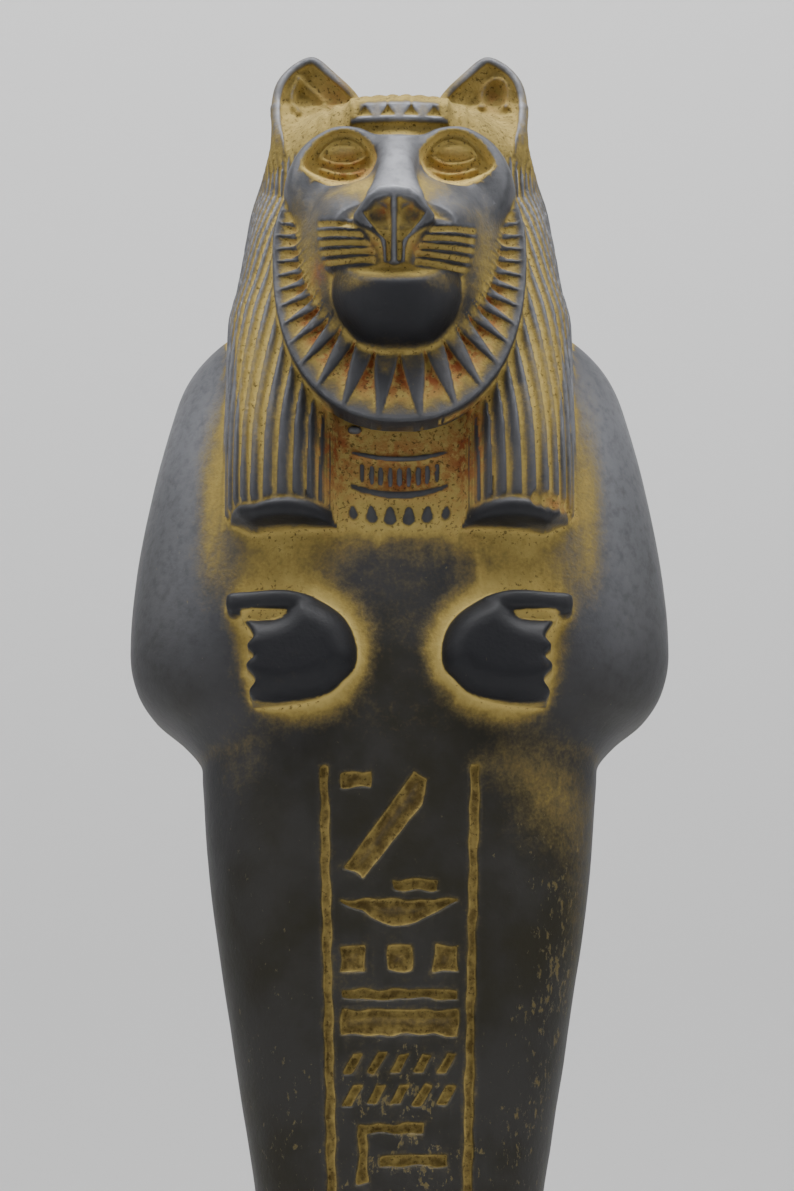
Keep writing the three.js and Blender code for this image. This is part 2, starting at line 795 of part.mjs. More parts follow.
function figure() {
  const head = join([mask(), muzzle(), core()]).subtract(eyeHollows()).add(eyes());
  return body()
    .subtract(strokes())
    .add(wig())
    .add(ruff())
    .add(join([head, jaw(), nose(), bothSides(ear()), browBand()]))
    .add(bothSides(fist()))
    .add(collar());
}

// Plinth, a low block whose top is at y = 0 and whose middle is in front of the figure's axis.
function plinth() {
  const [w, d] = [plinthWidth / 2 - plinthEdge, plinthDepth / 2 - plinthEdge];
  const outline = box(-w, w, -d, d).map(([x, y]) => new THREE.Vector2(x, y));
  const made = new THREE.ExtrudeGeometry(new THREE.Shape(outline), {
    depth: plinthHeight - 2 * plinthEdge,
    bevelSize: plinthEdge,
    bevelThickness: plinthEdge,
    bevelSegments: 2,
  });
  made.rotateX(-Math.PI / 2).translate(0, -plinthHeight + plinthEdge, axisSetBack);
  return solid(made);
}

// A solid as a three.js geometry.
function geometryOf(made) {
  const { vertProperties, triVerts } = made.getMesh();
  const geometry = new THREE.BufferGeometry();
  geometry.setAttribute("position", new THREE.BufferAttribute(vertProperties, 3));
  geometry.setIndex(new THREE.BufferAttribute(triVerts, 1));
  geometry.computeVertexNormals();
  return geometry;
}

const stone = new THREE.MeshStandardMaterial({ color: 0x3a3b42, roughness: 0.55, metalness: 0.1 });
const statue = new THREE.Mesh(geometryOf(figure().scale(unit).add(plinth())), stone);
statue.name = "statue";
statue.rotation.x = Math.PI / 2;
statue.position.set(0, axisSetBack, plinthHeight);

const model = new THREE.Group();
model.add(statue);
export default model;
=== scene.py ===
"""Looks of a cast-stone statuette of the lion-headed goddess in mummy form.

The figure is described as a solid field on a grid, in figure units: x to the viewer's right, f forward
from the figure's upright axis and h up from the plinth's top. A unit is a millimetre at the CAD's size.
The field's surface becomes one mesh that stands for the CAD's statue, and carries the masks for its finish,
painted highlight and painted shade among them.
"""

import math

import bpy
import numpy as np
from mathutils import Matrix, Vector


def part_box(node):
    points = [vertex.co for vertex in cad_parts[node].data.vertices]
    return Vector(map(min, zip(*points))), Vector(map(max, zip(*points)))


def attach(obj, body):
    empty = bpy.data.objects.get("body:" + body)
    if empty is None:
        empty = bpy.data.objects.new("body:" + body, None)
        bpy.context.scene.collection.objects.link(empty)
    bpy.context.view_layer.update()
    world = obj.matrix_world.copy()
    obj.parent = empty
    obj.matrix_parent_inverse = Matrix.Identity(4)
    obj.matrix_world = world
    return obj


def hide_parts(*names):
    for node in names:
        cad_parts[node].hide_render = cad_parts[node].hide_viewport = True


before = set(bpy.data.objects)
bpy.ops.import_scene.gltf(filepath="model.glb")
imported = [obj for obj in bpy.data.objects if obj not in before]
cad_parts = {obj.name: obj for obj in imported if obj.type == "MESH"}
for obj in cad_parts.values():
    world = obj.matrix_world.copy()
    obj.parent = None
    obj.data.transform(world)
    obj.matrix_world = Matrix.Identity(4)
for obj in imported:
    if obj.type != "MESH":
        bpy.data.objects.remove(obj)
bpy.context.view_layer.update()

# Driving sizes, in millimetres, as the CAD has them.
PLINTH_WIDTH = 62
PLINTH_DEPTH = 79
PLINTH_HEIGHT = 12
PLINTH_EDGE = 1.4
AXIS_SET_BACK = 8
FIGURE_UNITS = 287

UNIT = (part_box("statue")[1].z * 1000 - PLINTH_HEIGHT) / FIGURE_UNITS
STEP = 0.36
MOST_TRIANGLES = 190000
rng = np.random.default_rng(7)
# The corners of a grid cell, x first.
CORNERS = np.array([(i, j, k) for i in (0, 1) for j in (0, 1) for k in (0, 1)])

# The grid, a little wider than the figure on each side.
ACROSS = math.ceil(50.5 / STEP)
XS = np.arange(-ACROSS, ACROSS + 1, dtype=np.float32) * STEP
FS = np.arange(-33.3, 49.5, STEP, dtype=np.float32)
HS = np.arange(-PLINTH_HEIGHT - 3 * STEP, 289.8, STEP, dtype=np.float32)
field = np.full((len(XS), len(FS), len(HS)), 50, np.float32)

# The face is turned a little to the viewer's left: sideways shift for each unit forward of the cheeks.
FACE_TURN = 0.045
TURNED_FROM = 24


class Block:
    """A box of the grid: its coordinates for broadcasting, and the part of the field inside it."""

    def __init__(self, across, forward, up, turn=0.0):
        self.slices = tuple(
            slice(*np.searchsorted(axis, limits)) for axis, limits in ((XS, across), (FS, forward), (HS, up))
        )
        sx, sf, sh = self.slices
        self.f = FS[sf][None, :, None]
        self.h = HS[sh][None, None, :]
        self.turn = turn
        self.middle = XS[sx][:, None, None]
        self.x = self.middle + turn * (self.f - TURNED_FROM)
        self.side = np.abs(self.x)
        self.values = field[self.slices]

    def flat(self, forward=TURNED_FROM):
        """Distance across, its size and height as one flat grid, for a height map that far forward."""
        x, h = np.broadcast_arrays(self.middle[:, 0] + self.turn * (forward - TURNED_FROM), self.h[0])
        return x, np.abs(x), h

    def add(self, form, blend):
        self.values[...] = soft_union(self.values, form, blend)

    def cut(self, form, blend):
        self.values[...] = -soft_union(-self.values, form, blend)


def soft_union(a, b, blend):
    """The lesser of two fields, with a fillet about as wide as blend."""
    gap = np.maximum(blend - np.abs(a - b), 0) / blend
    return np.minimum(a, b) - gap * gap * blend / 4


def soft_overlap(a, b, blend):
    return -soft_union(-a, -b, blend)


def ramp(start, end, value):
    """Eases from 0 at the start to 1 at the end."""
    t = np.clip((value - start) / (end - start), 0, 1)
    return t * t * (3 - 2 * t)


def within(value, start, full, last, end):
    """Rises from start to full and falls again from last to end."""
    return ramp(start, full, value) * ramp(end, last, value)


def mix(a, b, share):
    return a + (b - a) * share


def hump(distance, width):
    """1 at no distance, falling to nothing on both sides."""
    return np.exp(-((distance / width) ** 2))


def read(stations, at):
    """Smooth curves through stations [(height, value, value...), ...], read at the heights given."""
    table = np.array(stations, float)
    y, values = table[:, 0], table[:, 1:]
    row = np.arange(len(y))
    before, after = np.maximum(row - 1, 0), np.minimum(row + 1, len(y) - 1)
    slopes = (values[after] - values[before]) / (y[after] - y[before])[:, None]
    at = np.asarray(at, float)
    i = np.clip(np.searchsorted(y, at) - 1, 0, len(y) - 2)
    span = y[i + 1] - y[i]
    t = np.clip((at - y[i]) / span, 0, 1)
    result = []
    for value, slope in zip(values.T, slopes.T):
        bend = span * t * (1 - t) * (slope[i] * (1 - t) - slope[i + 1] * t)
        result.append((mix(value[i], value[i + 1], ramp(0, 1, t)) + bend).astype(np.float32))
    return result


def share_out(u, v, across, along, squareness):
    """How far out a place is, as a share of a superellipse's reach in its direction."""
    return ((np.abs(u) / across) ** squareness + (np.abs(v) / along) ** squareness) ** (1 / squareness)


def oval(u, v, across, along, squareness):
    """Field of a superellipse about the origin of u and v."""
    share = share_out(u, v, across, along, squareness)
    return np.hypot(u, v) * (1 - 1 / np.maximum(share, 1e-3))


def ball(u, v, w, radii):
    share = np.sqrt((u / radii[0]) ** 2 + (v / radii[1]) ** 2 + (w / radii[2]) ** 2)
    return np.sqrt(u * u + v * v + w * w) * (1 - 1 / np.maximum(share, 1e-3))


def curve(points, count, closed=False):
    """Points of a smooth curve through the points given."""
    p = np.array(points, float)
    if closed:
        p = np.vstack([p[-1], p, p[0], p[1]])
    else:
        p = np.vstack([2 * p[0] - p[1], p, 2 * p[-1] - p[-2]])
    spans = len(p) - 3
    u = np.linspace(0, spans, count, endpoint=not closed)
    i = np.minimum(u.astype(int), spans - 1)
    t = (u - i)[:, None]
    a, b, c, d = p[i], p[i + 1], p[i + 2], p[i + 3]
    return 0.5 * (2 * b + (c - a) * t + (2 * a - 5 * b + 4 * c - d) * t**2 + (3 * b - a - 3 * c + d) * t**3)


def to_path(coordinates, path, closed=False):
    """Distance from each place to a path, in as many directions as the path has."""
    ends = np.roll(path, -1, axis=0) if closed else path[1:]
    nearest = np.inf
    for start, end in zip(path, ends):
        along = end - start
        length2 = max(float(along @ along), 1e-9)
        share = sum((c - s) * a for c, s, a in zip(coordinates, start, along)) / length2
        share = np.clip(share, 0, 1)
        away = sum((c - s - a * share) ** 2 for c, s, a in zip(coordinates, start, along))
        nearest = np.minimum(nearest, away)
    return np.sqrt(nearest).astype(np.float32)


def to_outline(u, v, outline):
    """Distance to a closed outline, less than nothing inside it."""
    outline = np.array(outline, float)
    inside = np.zeros(np.broadcast(u, v).shape, bool)
    for (u0, v0), (u1, v1) in zip(outline, np.roll(outline, -1, axis=0)):
        crosses = (v0 > v) != (v1 > v)
        inside ^= crosses & (u < (u1 - u0) * (v - v0) / (v1 - v0 + 1e-12) + u0)
    distance = to_path((u, v), outline, closed=True)
    return np.where(inside, -distance, distance)


def to_curve(u, v, outline, count=60):
    """Distance to a smooth closed curve through an outline's points, less than nothing inside it."""
    return to_outline(u, v, curve(outline, count, closed=True))


def ahead_of(block, front):
    """Distance in front of a height map, less where the map is steep."""
    even = 1 / np.sqrt(1 + sum((rise / STEP) ** 2 for rise in np.gradient(front)))
    return (block.f - front[:, None, :]) * np.maximum(even, 0.3)[:, None, :]


def relief(block, outline, front, back, blend):
    """A form between a front height map and a back, inside an outline."""
    ahead = ahead_of(block, front)
    form = soft_overlap(ahead, np.broadcast_to(outline[:, None, :], ahead.shape), blend)
    return np.maximum(form, back - block.f)


def stack(block, sections):
    """A form stacked towards the viewer: sections of depth, height, half width, half height, squareness."""
    h, wide, high, square = (v[None, :, None] for v in read(sections, block.f[0, :, 0]))
    ends = np.maximum(sections[0][0] - block.f, block.f - sections[-1][0])
    return np.maximum(oval(block.x, block.h - h, wide, high, square), ends)


def row_offset(x, pitch, count):
    """Distance across from the nearest of a centred row of things."""
    shift = 0.5 * (count % 2 == 0)
    place = x / pitch + shift
    return (place - np.clip(np.round(place), shift * 2 - count // 2, count // 2)) * pitch


# Wrapped body, from the feet to the neck: height, half width, front and back depth.
BODY_STATIONS = [
    (-1, 22, 40, 20), (11, 22, 39.5, 20), (18, 21.6, 36, 19.8), (25, 21, 28.5, 19), (36, 20.6, 22, 18.2),
    (56, 22.6, 21, 18.6), (80, 25.8, 22, 20), (106, 30, 23, 22), (132, 33.9, 24.3, 24.5),
    (150, 35.4, 25, 25.4), (154, 36, 25.2, 25.6), (158, 39.4, 25.5, 25.8), (162, 44.2, 25.8, 26),
    (167, 47.4, 26, 26.3), (174, 48.8, 26.2, 26.8), (188, 47.8, 26.2, 27), (204, 45, 26, 26.6),
    (216, 42, 25.4, 25.6), (224, 39.2, 23.6, 23.6), (230, 34.6, 20.4, 20.6), (235, 28, 16, 17),
    (240, 20, 11, 12),
]
BODY_SQUARENESS = 2.3


def add_body():
    block = Block((-60, 60), (-40, 60), (-2, 240))
    across, front, back = (v[None, None, :] for v in read(BODY_STATIONS, block.h[0, 0]))
    along = np.where(block.f > 0, front, back)
    block.add(oval(block.side, block.f, across, along, BODY_SQUARENESS), 0.1)


# Wig: height, half width, front and back depth of the mass round the head.
WIG_STATIONS = [
    (186, 31.2, 20, 31), (232, 31.2, 20, 31.2), (240, 29.7, 20, 30.4), (249.5, 28.4, 20.5, 29.4),
    (259.5, 26.8, 24, 27.6), (267, 23.8, 25, 24.6), (272.5, 18.8, 23, 19.6), (275.6, 12.4, 15.6, 13.4),
    (277.4, 4, 5, 4),
]
LAPPET_STATIONS = [(186, 20), (208, 19.4), (218, 17.4), (232, 13.4), (250, 8), (266, 1), (274, 0)]
WIG_SQUARENESS = 2.3
# Shares of the wig's half width: the lappets' distance from the middle, half width and half thickness.
LAPPET_CENTRE = 0.65
LAPPET_HALF_WIDTH = 0.35
LAPPET_THICKNESS = 0.42
STRAND_LEVEL = 210  # height at which the strands are evenly spaced
STRAND_PITCH = 2.6
GROOVE_DEPTH = 0.95
VALLEY = 0.48  # half width of the flat of a groove
LAPPET_END = 190.6
LAPPET_SLANT = 0.17
CUFF_MIDDLE = 20.3
CUFF_HALF_WIDTH = 10.8
BACK_HEM = 189
FRONT_GAP = 15  # degrees to each side of the middle without strands


def wig_radius(angle, h):
    """The wig's reach at each angle from straight ahead and each height, without its strands."""
    s, c = np.sin(angle)[:, None], np.cos(angle)[:, None]
    across, front, back = (v[None, :] for v in read(WIG_STATIONS, h))
    mass = 1 / share_out(s, c, across, np.where(c > 0, front, back), WIG_SQUARENESS)
    centre = read(LAPPET_STATIONS, h)[0][None, :]
    u, w = np.abs(s) / (LAPPET_HALF_WIDTH * across), c / (LAPPET_THICKNESS * across)
    p, q = LAPPET_CENTRE / LAPPET_HALF_WIDTH, centre / (LAPPET_THICKNESS * across)
    half = u * p + w * q
    root = half * half - (u * u + w * w) * (p * p + q * q - 1)
    lappet = np.where(root > 0, (half + np.sqrt(np.maximum(root, 0))) / (u * u + w * w), 0)
    return np.maximum(mass, lappet)


def hem(forward, side):
    """Height of the wig's lower edge, which slants up at the front of the lappets and at their outer edge."""
    slanted = LAPPET_END + LAPPET_SLANT * (forward - 24) + 2.4 * ramp(25, 30.5, side)
    return mix(BACK_HEM, slanted, ramp(2, 12, forward))


def cuff_height(forward, side):
    """The cuffs are half moons in front, and a plain band round the back."""
    moon = 1 - np.clip((side - CUFF_MIDDLE) / CUFF_HALF_WIDTH, -1, 1) ** 2
    return mix(2.4, 0.1 + 2.8 * moon**0.7, ramp(8, 14, forward))


def grooves_between(phase, pitch):
    """1 in the grooves at each whole number of the phase and 0 on the strands between them."""
    return 1 - ramp(VALLEY, VALLEY + 0.35, np.abs(phase - np.round(phase)) * pitch)


def strand_depth(angle, radius, h):
    """How deep each place lies in the grooves between the strands, 0 on a strand and 1 in a groove."""
    level = wig_radius(angle, np.array([STRAND_LEVEL]))[:, 0]
    steps = np.hypot(np.diff(level * np.sin(angle)), np.diff(level * np.cos(angle)))
    run = np.concatenate([[0], np.cumsum(steps)])
    wander = 0.12 * np.sin(h / 17.0)[None, :] * np.sin(run / 4.1)[:, None]
    phase = run[:, None] / STRAND_PITCH + wander
    shrink = radius / level[:, None]
    # Towards the crown the strands run together, two into one.
    grooves = mix(
        grooves_between(phase / 2, 2 * STRAND_PITCH * shrink),
        grooves_between(phase, STRAND_PITCH * shrink),
        ramp(17, 21, radius),
    )
    forward = radius * np.cos(angle)[:, None]
    calm = ramp(8, 14, forward) * ramp(260, 266, h[None, :])
    grooves = grooves * ramp(4, 9, radius) * (1 - calm)
    grooves = np.where(angle[:, None] < math.radians(FRONT_GAP), 0, grooves)
    side = radius * np.sin(angle)[:, None]
    above_cuff = h[None, :] - hem(forward, side) - cuff_height(forward, side)
    ring = hump(above_cuff - 0.3, 0.65)
    return np.maximum(grooves * ramp(0, 0.4, above_cuff), ring)


def add_wig():
    block = Block((-36, 36), (-40, 40), (186, 280))
    angles = np.radians(np.arange(0, 180.01, 0.2)).astype(np.float32)
    heights = HS[block.slices[2]]
    plain = wig_radius(angles, heights)
    radius = plain - GROOVE_DEPTH * strand_depth(angles, plain, heights)
    even = 1 / np.sqrt(1 + np.gradient(plain, STEP, axis=1) ** 2)
    angle = np.arctan2(block.side[:, :, 0], block.f[:, :, 0])
    away = np.hypot(block.side[:, :, 0], block.f[:, :, 0])
    form = np.empty(block.values.shape, np.float32)
    for k in range(len(heights)):
        here = np.interp(angle, angles, radius[:, k])
        form[:, :, k] = (away - here) * np.interp(angle, angles, even[:, k])
    # Over the brow the strands run from front to back.
    crown = ramp(265, 268, block.h) * ramp(5, 11, block.f) * ramp(16, 13, block.side)
    form = form + 0.5 * crown * grooves_between(block.x / STRAND_PITCH, STRAND_PITCH)
    form = soft_overlap(form, hem(block.f, block.side) - block.h, 2.2)
    form = soft_overlap(form, block.h - WIG_STATIONS[-1][0] - 0.3, 0.8)
    block.add(form, 0.7)


# Chipped edge on top of the right lappet's cuff: x, forward, height and radius of each bite.
CHIPS = [(24.6, 32, 195, 1.7), (26.4, 31.4, 194.8, 2), (28, 30, 194.6, 1.9), (29.8, 27.6, 194.4, 1.7)]
CHIPPED = (27.2, 195)  # their middle


def cut_chips():
    block = Block((20, 35), (18, 38), (188, 200))
    for x, f, h, radius in CHIPS:
        block.cut(ball(block.x - x, block.f - f, block.h - h, (radius, radius, radius)), 0.3)


# Ruff of hair round the face: a leaning plate whose sunk tufts stand between raised darts.
RUFF_CENTRE = 243
RUFF_ACROSS = 22.8
RUFF_DOWN = 35.2
RUFF_UP = 22
RUFF_SQUARENESS = 2.3
RUFF_FRONT = 36
RUFF_LEAN = 0.28
RUFF_THICKNESS = 7
TUFT_START = 0.6  # share of the ruff's reach where the tufts' points are
TUFT_RELIEF = 1.7


def ruff_front(h):
    return RUFF_FRONT - RUFF_LEAN * (h - (RUFF_CENTRE - RUFF_DOWN))


def ruff_span(up):
    return np.where(up < 0, RUFF_DOWN, RUFF_UP)


def tuft_shape(side, up):
    """Share of the way out along the tufts, and how far in each tuft a place lies, 1 being inside."""
    share = share_out(side, up, RUFF_ACROSS, ruff_span(up), RUFF_SQUARENESS)
    out = (share - TUFT_START) / (0.99 - TUFT_START)
    # The tufts at the chin are the widest.
    count = np.linspace(0, 14, 200)
    edges = 7 * count + 17 * (1 - np.exp(-count / 3))
    tuft = np.interp(np.degrees(np.arctan2(side, -up)), edges, count)
    off_middle = np.abs(tuft - np.round(tuft))
    half = 0.49 * np.clip(out, 0, 1)
    return out, 1 - ramp(half - 0.04, half + 0.04, off_middle)


def add_ruff():
    block = Block((-26, 26), (8, 42), (204, 270))
    _, side, h = block.flat()
    up = h - RUFF_CENTRE
    outline = oval(side, up, RUFF_ACROSS, ruff_span(up), RUFF_SQUARENESS)
    out, inside = tuft_shape(side, up)
    deep = TUFT_RELIEF * np.clip(1.02 - out, 0, 1) ** 0.8
    front = ruff_front(h) - deep * inside * ramp(-0.02, 0.05, out)
    back = ruff_front(block.h) - RUFF_THICKNESS
    block.add(relief(block, outline, front, back, 0.45), 0.4)


# Head: mask of the face, muzzle, nose, eyes and jaws.
MASK_OUTLINE = [
    (0, 263), (3, 264), (6, 265.8), (9.4, 266.5), (13, 266), (17, 263.4), (19.6, 260), (21, 256),
    (20.6, 252), (18.9, 247), (16.8, 241.6), (14.4, 237), (8, 233),
]
SNOUT = [
    (16, 250, 19.4, 15, 2.2), (23, 248, 18.4, 14, 2.2), (30, 245.4, 16, 11.4, 2.3),
    (36, 243.6, 13.4, 8, 2.4), (39.6, 242.8, 10.6, 4.6, 2.3),
]
BRIDGE = [
    (22, 259, 7, 6, 2.4), (30, 256.8, 4.8, 6.4, 2.4), (36, 252.4, 3.6, 5.8, 2.4),
    (40, 248.4, 4.4, 4.8, 2.3), (43.6, 243.8, 6.2, 3.5, 2.2),
]
# Neck and jowls, stacked towards the viewer: depth, height, half width, half height, squareness.
JOWL = [
    (4, 243, 17.4, 21, 2.1), (24, 243, 17.6, 21, 2.1), (29, 242.4, 17, 20.4, 2.1),
    (32, 241.4, 15, 19, 2.1), (34.4, 240.4, 11, 16, 2.1), (35.6, 240, 6, 11, 2.1),
]
# Muzzle and jaw in level slices, superellipses about an upright axis: height, half width, front.
MUZZLE = [
    (231.4, 9.4, 39.6), (233.2, 11.7, 41.2), (235.8, 13.6, 42.6), (239, 14.2, 43.4), (241.4, 13.8, 43.4),
    (242.8, 12.6, 42.4), (244.2, 9.6, 40),
]
JAW = [
    (221, 3.4, 30.5), (222, 5.6, 34), (223.2, 7.6, 37.2), (225, 9.2, 39.8), (227.4, 10.8, 41.6),
    (231, 12.2, 43), (235, 12.4, 43),
]
TOP_WHISKER = 241.4
WHISKER_PITCH = 1.75
WHISKER_LINES = 5
WHISKER_RISE = 0.27  # of the lines for each unit back
WHISKER_TILT = 0.05
NOSE_OUTLINE = [
    (0, 248.4), (2.9, 248), (4.7, 246.5), (7.2, 243), (7, 241.8), (4.7, 240.4), (2.6, 238.9), (2, 237.4),
    (1.8, 235.2), (0, 234.6),
]
NOSE_HOLLOW = [
    (0, 246), (1.4, 246), (3.3, 245.3), (5.4, 243.2), (4.6, 242), (2.9, 240), (1.5, 238.7), (1.35, 235.3),
    (0, 235.1),
]
SOCKET = [
    (17.8, 257.7), (15.8, 261.4), (13.6, 263.5), (11, 264.7), (8.7, 264.7), (6.6, 263.7), (4.7, 261.7),
    (3.8, 259.3), (4, 257), (5.6, 254.4), (8.5, 253), (12.5, 253.3), (16, 255.2),
]
EYE = (10, 260.7)
# Ridges round the eye: path, how far they stand out and how wide they are.
EYE_RIDGES = [
    ([(14.2, 259.6), (12.6, 261.9), (10.3, 262.9), (7.8, 262.5), (6, 260.8)], 1.3, 0.55),
    ([(14, 259.4), (12.2, 258.7), (10, 258.4), (8, 258.6), (6.2, 259.6)], 1.1, 0.5),
    ([(13.8, 257.4), (11.8, 256.7), (9.8, 256.4), (7.6, 256.6), (5.8, 257.3)], 0.9, 0.55),
]


def mirrored(half_outline):
    """A closed outline from its half on one side of the middle."""
    far = [(-u, v) for u, v in half_outline[::-1] if u > 0]
    return half_outline + far


def level_slices(block, sections, axis_forward, squareness, rise=0.0):
    """A form of level superellipses about an upright axis; the slices can rise towards the back."""
    height = block.h - rise * np.clip(44 - block.f, 0, 9)
    across, front = read(sections, height)
    form = oval(block.side, block.f - axis_forward, across, front - axis_forward, squareness)
    low, high = sections[0][0], sections[-1][0]
    return soft_overlap(form, np.abs(height - (low + high) / 2) - (high - low) / 2, 1.2)


def add_mask(block):
    x, _, h = block.flat()
    outline = to_curve(x, h, mirrored(MASK_OUTLINE), 120)
    inward = np.maximum(-outline, 0)
    roundness = mix(0.7, 2.4, ramp(252, 242, h))
    front = 30.2 - 1.2 * (1 - np.minimum(inward / 10, 1)) ** 2 - 7 * np.exp(-inward / roundness)
    brow = ramp(255, 261, h) * hump(inward - 1.1, 0.8)
    block.add(relief(block, outline, front + 0.5 * brow, 12, 0.8), 0.5)


def cut_sockets(block):
    """Hollows for the eyes, with the eye and its lids left standing in them."""
    _, side, h = block.flat(28)
    outline = to_curve(side, h, SOCKET)
    inward = np.maximum(-outline, 0)
    slope = mix(3.8, 1.3, ramp(253.5, 259, h))
    floor = 30.4 - 3.7 * ramp(0, 1, inward / slope)
    round_eye = 1 - ((side - EYE[0]) / 3.3) ** 2 - ((h - EYE[1]) / 1.7) ** 2
    raised = 1.5 * np.sqrt(np.maximum(round_eye, 0))
    for path, high, wide in EYE_RIDGES:
        ridge = high * hump(to_path((side, h), curve(path, 24)), wide)
        raised = np.maximum(raised, ridge)
    floor = floor + raised
    hollow = np.maximum(-ahead_of(block, floor), outline[:, None, :])
    block.cut(np.maximum(hollow, 24 - block.f), 0.4)


def add_muzzle(block):
    form = level_slices(block, MUZZLE, 24, 3, 0.12)
    # Between the pads the lip draws back and up.
    form = form + 1.3 * hump(block.side, 3.2) * ramp(242, 238, block.h)
    lip = 231.8 + 3.4 * hump(block.side, 6.4)
    form = soft_overlap(form, (lip - block.h) * ramp(20, 36, block.f) - 1.5 * ramp(36, 20, block.f), 0.8)
    block.add(form, 0.7)


def whisker_groove(x, f, h):
    """1 in the lines across the pads, which draw together and stop short of the nose."""
    side = np.abs(x)
    level = h + WHISKER_TILT * x - WHISKER_RISE * np.maximum(43.4 - f, 0)
    middle = (WHISKER_LINES - 1) / 2
    pitch = WHISKER_PITCH * mix(0.84, 1.03, ramp(4, 12, side))
    line = middle + (TOP_WHISKER - middle * WHISKER_PITCH - level) / pitch
    near = np.abs(line - np.clip(np.round(line), 0, WHISKER_LINES - 1)) * pitch
    inner = 3.2 + 0.7 * np.maximum(h - 237, 0)
    groove = (1 - ramp(0.3, 0.8, near)) * ramp(inner, inner + 0.9, side)
    return groove * ramp(14.6, 13.4, side) * ramp(33, 36, f)


def add_jaw(block):
    block.add(soft_overlap(stack(block, JOWL), block.h - 247, 5), 2)
    form = level_slices(block, JAW, 22, 3)
    # The lip's top slopes up towards the mouth.
    lip = 231.3 + 0.9 * (43.5 - block.f)
    block.add(soft_overlap(form, (block.h - lip) * 0.75, 0.7), 0.5)


def add_nose(block):
    x, side, h = block.flat(45)
    outline = to_outline(x, h, mirrored(NOSE_OUTLINE))
    front = 46.2 - 0.28 * np.maximum(246 - h, 0) - 0.7 * np.exp(np.minimum(outline, 0) / 0.35)
    hollow = -to_outline(x, h, mirrored(NOSE_HOLLOW))
    recess = ramp(-0.3, 0.35, hollow) * ramp(0.3, 0.75, side)
    pit = np.hypot(side - 2.6, (h - 243.5) * 1.1)
    front = front - 1.8 * recess - 1.6 * (1 - ramp(0.8, 1.7, pit)) * recess
    block.add(relief(block, outline, front, 34, 0.6), 0.5)


def add_head():
    block = Block((-28, 28), (0, 50), (205, 284), FACE_TURN)
    block.add(ball(block.x, block.f - 12, block.h - 240, (17, 13, 22)), 0.5)
    add_mask(block)
    block.add(stack(block, SNOUT), 3)
    block.add(stack(block, BRIDGE), 3)
    cut_sockets(block)
    add_jaw(block)
    add_muzzle(block)
    block.values[...] += 1.1 * whisker_groove(block.x, block.f, block.h)
    add_nose(block)


# Ear: an upright leaf with a thick rim round a hollow that holds smaller ridges.
EAR_OUTLINE = [
    (5.5, 268), (6.3, 276.4), (7.6, 278.9), (9, 280.7), (10.8, 282.5), (12.5, 284.1), (14.2, 285.7),
    (15.7, 286.6), (17.1, 286.6), (18.6, 286), (20.6, 284.6), (22.3, 282.6), (23.3, 280.4), (23.8, 277.2),
    (23.7, 273.6), (23.1, 268), (21.6, 262.5), (14, 262),
]
EAR_RIDGES = [
    (-1, [(13.8, 277.8), (16.2, 280), (18.7, 282.1)], 0.8),
    (-1, [(18.7, 282.1), (19.9, 279.4), (19.7, 277), (18.7, 275)], 0.6),
    (1, [(15.3, 276.4), (15.4, 279.8), (17.2, 282), (19.2, 281.6), (20.1, 279.4), (19.8, 276.6)], 0.7),
]
EAR_LEAN = 5


def add_ears():
    block = Block((-27, 27), (-4, 20), (256, 289))
    x, side, h = block.flat()
    outline = to_curve(side, h, EAR_OUTLINE, 90)
    inward = np.maximum(-outline, 0)
    hollow = 1.3 * ramp(1.4, 2.1, inward) + 1.5 * ramp(1.6, 5.5, inward)
    ridge = 0
    for hand, path, wide in EAR_RIDGES:
        along = to_path((x * hand, h), curve(path, 16))
        ridge = np.maximum(ridge, hump(along, wide))
    # Its foot comes forward towards the brow.
    lean = EAR_LEAN * ramp(279, 268, h) * ramp(262, 268, h)
    front = 9.4 + lean - 1.1 * np.exp(-inward / 0.5) - hollow + 1.3 * ridge * ramp(1, 2, inward)
    back = 0.3 + 3.4 * np.exp(-inward / 2.2)
    form = relief(block, outline, front, -10, 0.8)
    form = soft_overlap(form, back[:, None, :] - block.f, 0.8)
    block.add(form, 5)


# Hem of the wig over the brow: the strands' ends, and below them a band with a row of sunk triangles.
BAND_HALF_WIDTH = 9
BAND_PROFILE = [(267.1, 25.8), (267.4, 26.6), (268, 26.6), (270.6, 26.2), (271.8, 25), (273.6, 23.4)]
TRIANGLES = 4
TRIANGLE_PITCH = 4.2
TRIANGLE_FOOT = 268.3
TRIANGLE_HEIGHT = 2.1
TRIANGLE_HALF_WIDTH = 1.5


def add_brow_band():
    block = Block((-12, 12), (12, 30), (262, 277))
    x, side, h = block.flat()
    off = np.abs(row_offset(x, TRIANGLE_PITCH, TRIANGLES))
    rise = np.clip((h - TRIANGLE_FOOT) / TRIANGLE_HEIGHT, 0, 1)
    notch = ramp(0.2, -0.3, off - TRIANGLE_HALF_WIDTH * (1 - rise))
    notch = notch * ramp(TRIANGLE_FOOT - 0.1, TRIANGLE_FOOT + 0.3, h) * mix(0.6, 1.4, rise)
    front = np.interp(h, *zip(*BAND_PROFILE)) - 0.014 * x**2 - notch
    strand = (x / STRAND_PITCH) % 1
    top = 273 + 0.5 * np.sqrt(np.maximum(1 - (2 * strand - 1) ** 2, 0)) - 0.006 * x**2
    outline = soft_overlap(side - BAND_HALF_WIDTH, np.abs(h - 269) - (top - 269), 0.4)
    outline = np.maximum(outline, BAND_PROFILE[0][0] - h)
    block.add(relief(block, outline, front, 8, 0.5), 1.2)


